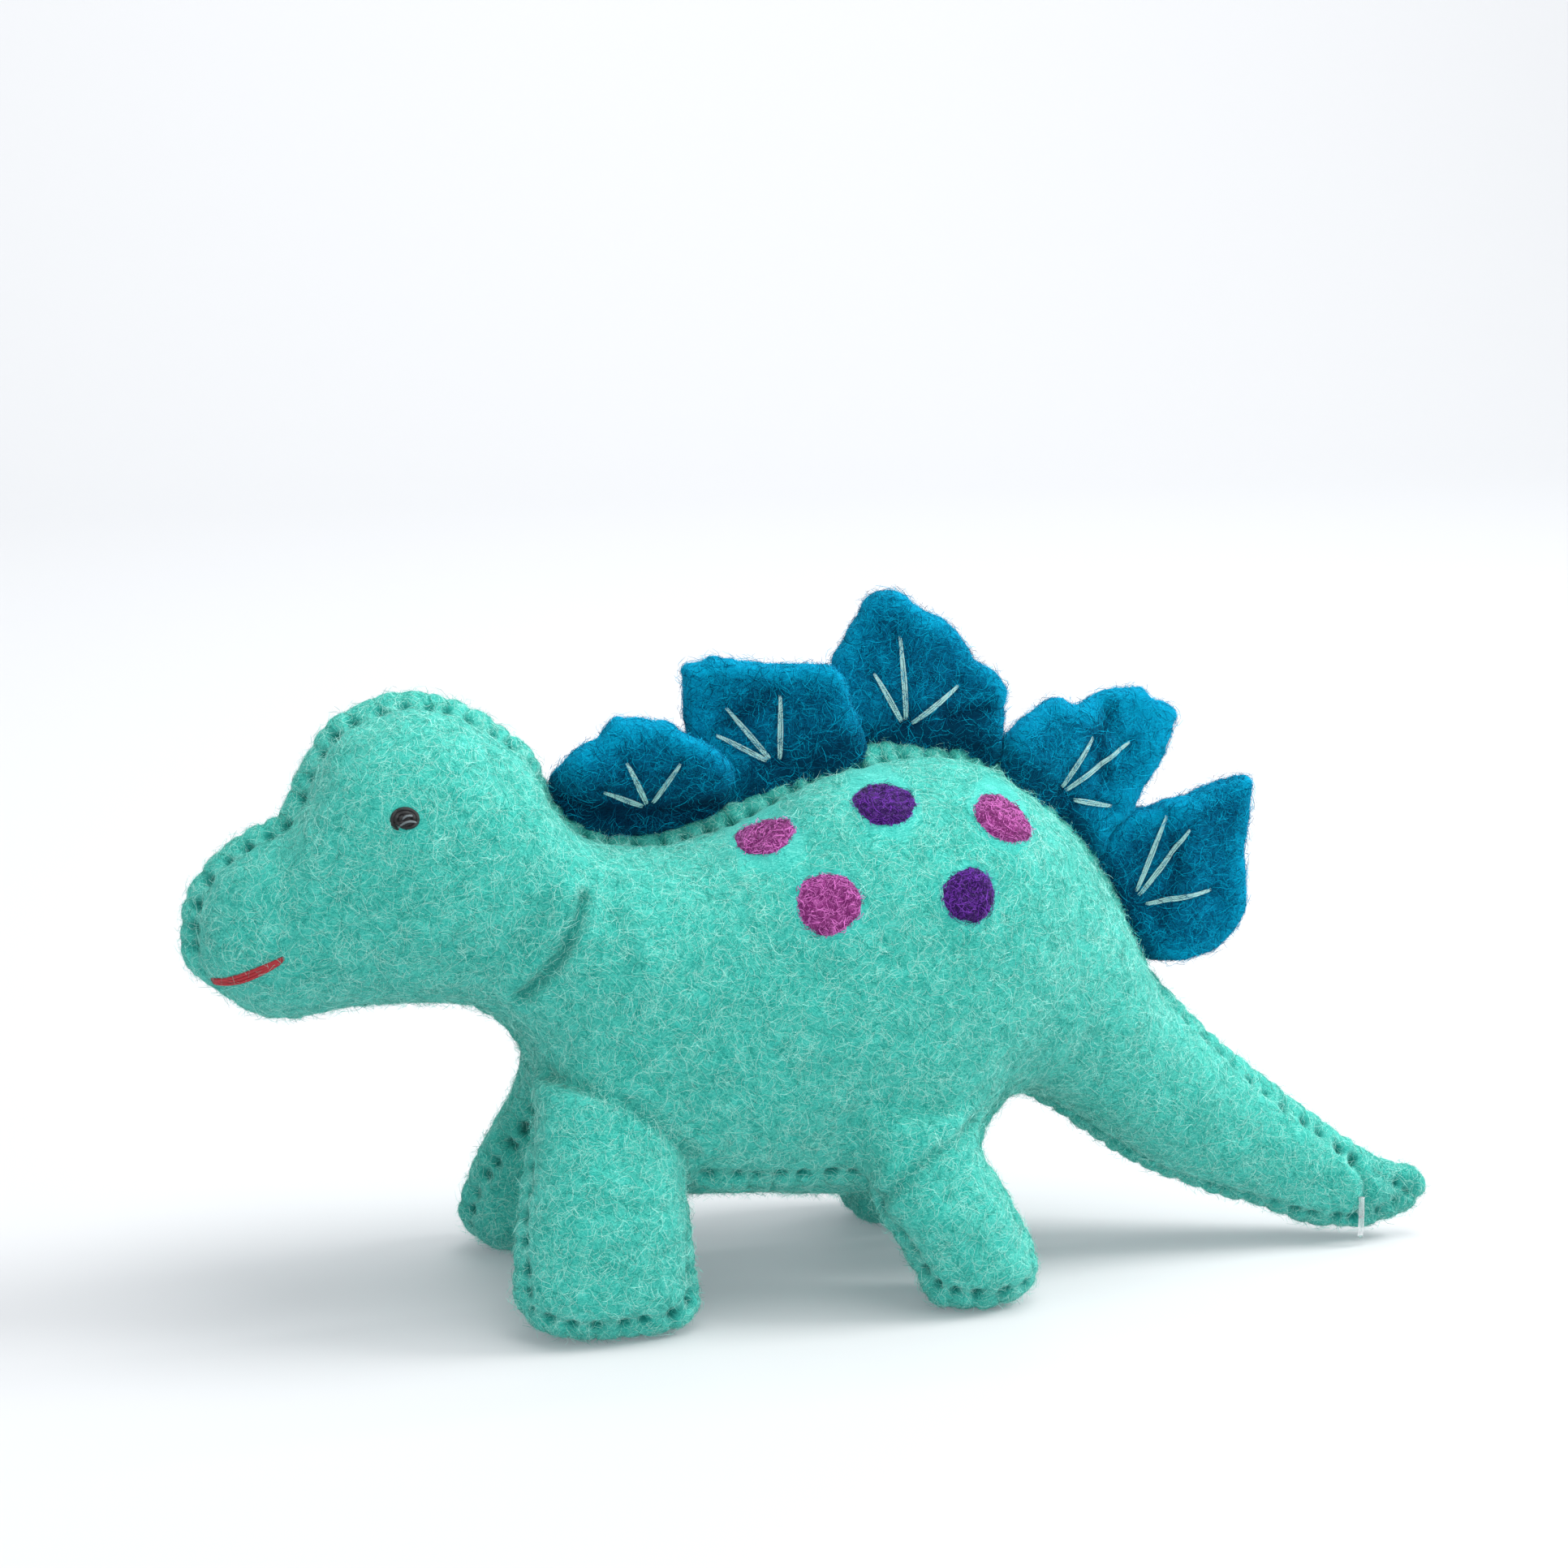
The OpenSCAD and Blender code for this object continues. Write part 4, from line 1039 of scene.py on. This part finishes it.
nylon, _, nylon_shader = new_material("clear_nylon")
set_inputs(nylon_shader, Base_Color=(0.93, 0.95, 0.96, 1), Roughness=0.18, Transmission_Weight=0.75, IOR=1.5)
low, high = (np.array(v[:]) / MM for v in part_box("tag_pin"))
bar_x, bar_y = (low[0] + high[0]) / 2, low[1] + 0.55
bar = [(bar_x + 0.1 * math.sin(t * 3), bar_y, low[2] + (high[2] - low[2]) * t) for t in np.linspace(0, 1, 12)]
hook = [
    (bar_x, bar_y + 0.1 + (high[1] - bar_y) * t, low[2] + 3.8 + 0.6 * math.sin(2 * t)) for t in np.linspace(0, 1, 8)
]
points, faces = gather([tube(bar, 0.52, sides=10, up=(1, 0, 0)), tube(hook, 0.28, sides=8, up=(1, 0, 0))])
obj = make_mesh("tag_pin_nylon", points, faces, nylon)
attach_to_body(obj, "tail")
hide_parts("tag_pin")

# ---- loose fibres


def fibres(
    name, tree, points, quads, count, tints, length, lift, width, curl, segments=4, fly=0.0, seed=1, clear=None,
    shares=None, light_and_tone=None, open_faces=None,
):
    """Ribbons of wool that lie on a surface and stand a little off it, one piece for each tint.

    fly is the share of fibres with a loose end, clear says which points get none, a face's painted light and shade,
    where given, picks the first, lightest tint where it is high or the last, deepest one where it is low, and
    fibres that cross faces outside open_faces are thinned out.
    """
    rng = np.random.default_rng(seed)
    a, b, c, d = (points[quads[:, k]] for k in range(4))
    area = face_areas(points, quads)
    count = int(count * (1))
    pick = rng.choice(len(quads), count, p=area / area.sum())
    s, t = rng.random((2, count, 1))
    start = (a[pick] * (1 - s) + b[pick] * s) * (1 - t) + (d[pick] * (1 - s) + c[pick] * s) * t
    normal = unit(np.cross(c - a, d - b))[pick]
    direction = unit(np.cross(normal, rng.normal(size=(count, 3))))
    long = rng.uniform(*length, count)
    bend = rng.normal(0, curl, count)
    rise = rng.uniform(*lift, count)
    flying = rng.random(count) < fly
    in_open = np.ones(count, bool)
    steps = long / segments
    line = [start]
    norms = [normal]
    here = start.copy()
    for k in range(segments):
        turn = (bend + rng.normal(0, curl * 0.5, count)) / segments
        side = np.cross(normal, direction)
        direction = unit(direction * np.cos(turn)[:, None] + side * np.sin(turn)[:, None])
        guess = here + direction * steps[:, None]
        hits = [tree.find_nearest(Vector(g)) for g in guess]
        here = np.array([h[0][:] for h in hits])
        normal = np.array([h[1][:] for h in hits])
        if open_faces is not None:
            in_open &= open_faces[[h[2] for h in hits]]
        direction = unit(direction - normal * (direction * normal).sum(1, keepdims=True))
        line.append(here)
        norms.append(normal)
    line, norms = np.stack(line, 1), np.stack(norms, 1)
    at = np.linspace(0, 1, segments + 1)
    arch = np.sin(np.pi * at)[None, :] ** 0.7
    height = rise[:, None] * arch * (1 + 0.5 * rng.normal(size=(count, segments + 1)).clip(-1, 1))
    tail = (at[None, :] ** 1.6) * rng.uniform(0.4, 1.5, count)[:, None] * flying[:, None]
    line = line + norms * (height + tail)[:, :, None]
    along = unit(np.gradient(line, axis=1))
    across = unit(np.cross(along, norms))
    roll = np.where(flying, rng.uniform(-1.4, 1.4, count), rng.uniform(-0.6, 0.6, count))[:, None, None]
    across = across * np.cos(roll) + norms * np.sin(roll)
    taper = (0.35 + 0.65 * np.sin(np.pi * (0.1 + 0.8 * at)))[None, :, None]
    wide = rng.uniform(*width, count)[:, None, None] * taper / 2
    both = np.stack([line - across * wide, line + across * wide], 2)
    both[..., 2] = np.maximum(both[..., 2], 0.05)
    keep = np.ones(count, bool) if clear is None else ~clear(line.reshape(-1, 3)).reshape(count, -1).any(1)
    keep &= in_open | (rng.random(len(keep)) < 0.2)
    both = both[keep]
    count = len(both)
    tint = rng.choice(len(tints), count, p=shares)
    # Painted light and shade: faces with a painted highlight get the lightest tint, faces with painted shade the
    # deepest
    if light_and_tone is not None:
        roll = rng.random(count)
        here = light_and_tone[pick][keep]
        tint = np.where(roll < -here, len(tints) - 1, np.where(roll < here, 0, tint))
    made = []
    for k, material in enumerate(tints):
        own = both[tint == k]
        per = 2 * (segments + 1)
        base = np.arange(len(own))[:, None] * per + 2 * np.arange(segments)[None, :]
        faces = np.stack([base, base + 1, base + 3, base + 2], -1).reshape(-1, 4)
        if len(faces):
            made.append(make_mesh(f"{name}_{'abcd'[k]}", own.reshape(-1, 3), faces, material, smooth=False))
    return made


mint_tints = [
    plain("mint_fibre_light", (176, 240, 229), sheen=0.4), plain("mint_fibre", (88, 212, 196), sheen=0.4),
    plain("mint_fibre_deep", (22, 148, 136), sheen=0.2),
]
blue_tints = [
    plain("blue_fibre_light", (0, 166, 204), sheen=0.03), plain("blue_fibre", (0, 112, 152), sheen=0.0),
    plain("blue_fibre_deep", (0, 60, 90), sheen=0.0),
]
pink_tints = [plain("pink_fibre", (200, 106, 184)), plain("pink_fibre_dark", (118, 34, 104))]
purple_tints = [plain("purple_fibre", (104, 48, 158)), plain("purple_fibre_dark", (44, 6, 82))]
DOT_TINTS = {"pink": pink_tints, "purple": purple_tints}
MINT_DENSITY, BLUE_DENSITY, DOT_FIBRES = 5.8, 4.5, 520  # fibres to a square millimetre, or in all
OPEN_FACES = shade[skin_quads].mean(1) < 0.55


def under_a_dot(p):
    """Whether points lie where a wool dot or an eye covers the skin."""
    hidden = np.zeros(len(p), bool)
    for cx, cz, half_l, half_h, turn, _ in list(DOTS.values()) + [(*EYE, 2.6, 2.0, 0, "")]:
        t = math.radians(turn)
        dx, dz = p[:, 0] - cx, p[:, 2] - cz
        u, v = dx * math.cos(t) + dz * math.sin(t), -dx * math.sin(t) + dz * math.cos(t)
        hidden |= (u / half_l) ** 2 + (v / half_h) ** 2 < 0.9
    return hidden & (np.abs(p[:, 1]) > 5)


for key, (_, mask, zone) in skin_pieces.items():
    own = skin_quads[mask]
    area = 0.5 * face_areas(skin_points, own).sum()
    made = fibres(
        key.replace("felt", "fuzz"), skin_tree, skin_points, own, MINT_DENSITY * area, mint_tints, (1.2, 3.8),
        (0.04, 0.26), (0.032, 0.062), 1.6, segments=3, fly=0.2, seed=len(key) + zone, clear=under_a_dot,
        shares=(0.26, 0.45, 0.29), open_faces=OPEN_FACES,
    )
    for m in made:
        attach(m, zone)
for name, points, quads, tint in dot_meshes:
    made = fibres(
        name + "_fuzz", bvh_of(points, quads), points, quads, DOT_FIBRES, DOT_TINTS[tint], (1.2, 3.4), (0.05, 0.35),
        (0.09, 0.16), 3.4, fly=0.08, seed=len(name),
    )
    for m in made:
        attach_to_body(m, "torso")
for i, (points, quads, _) in enumerate(plate_meshes):
    area = 0.5 * face_areas(points, quads).sum()
    made = fibres(
        f"plate_{i + 1}_fuzz", plate_trees[i], points, quads, BLUE_DENSITY * area, blue_tints, (1.5, 4.5),
        (0.06, 0.35), (0.04, 0.09), 2.0, fly=0.2, seed=50 + i, shares=(0.3, 0.4, 0.3), light_and_tone=plate_painted_light_and_tone[i],
    )
    for m in made:
        attach_plate(m)
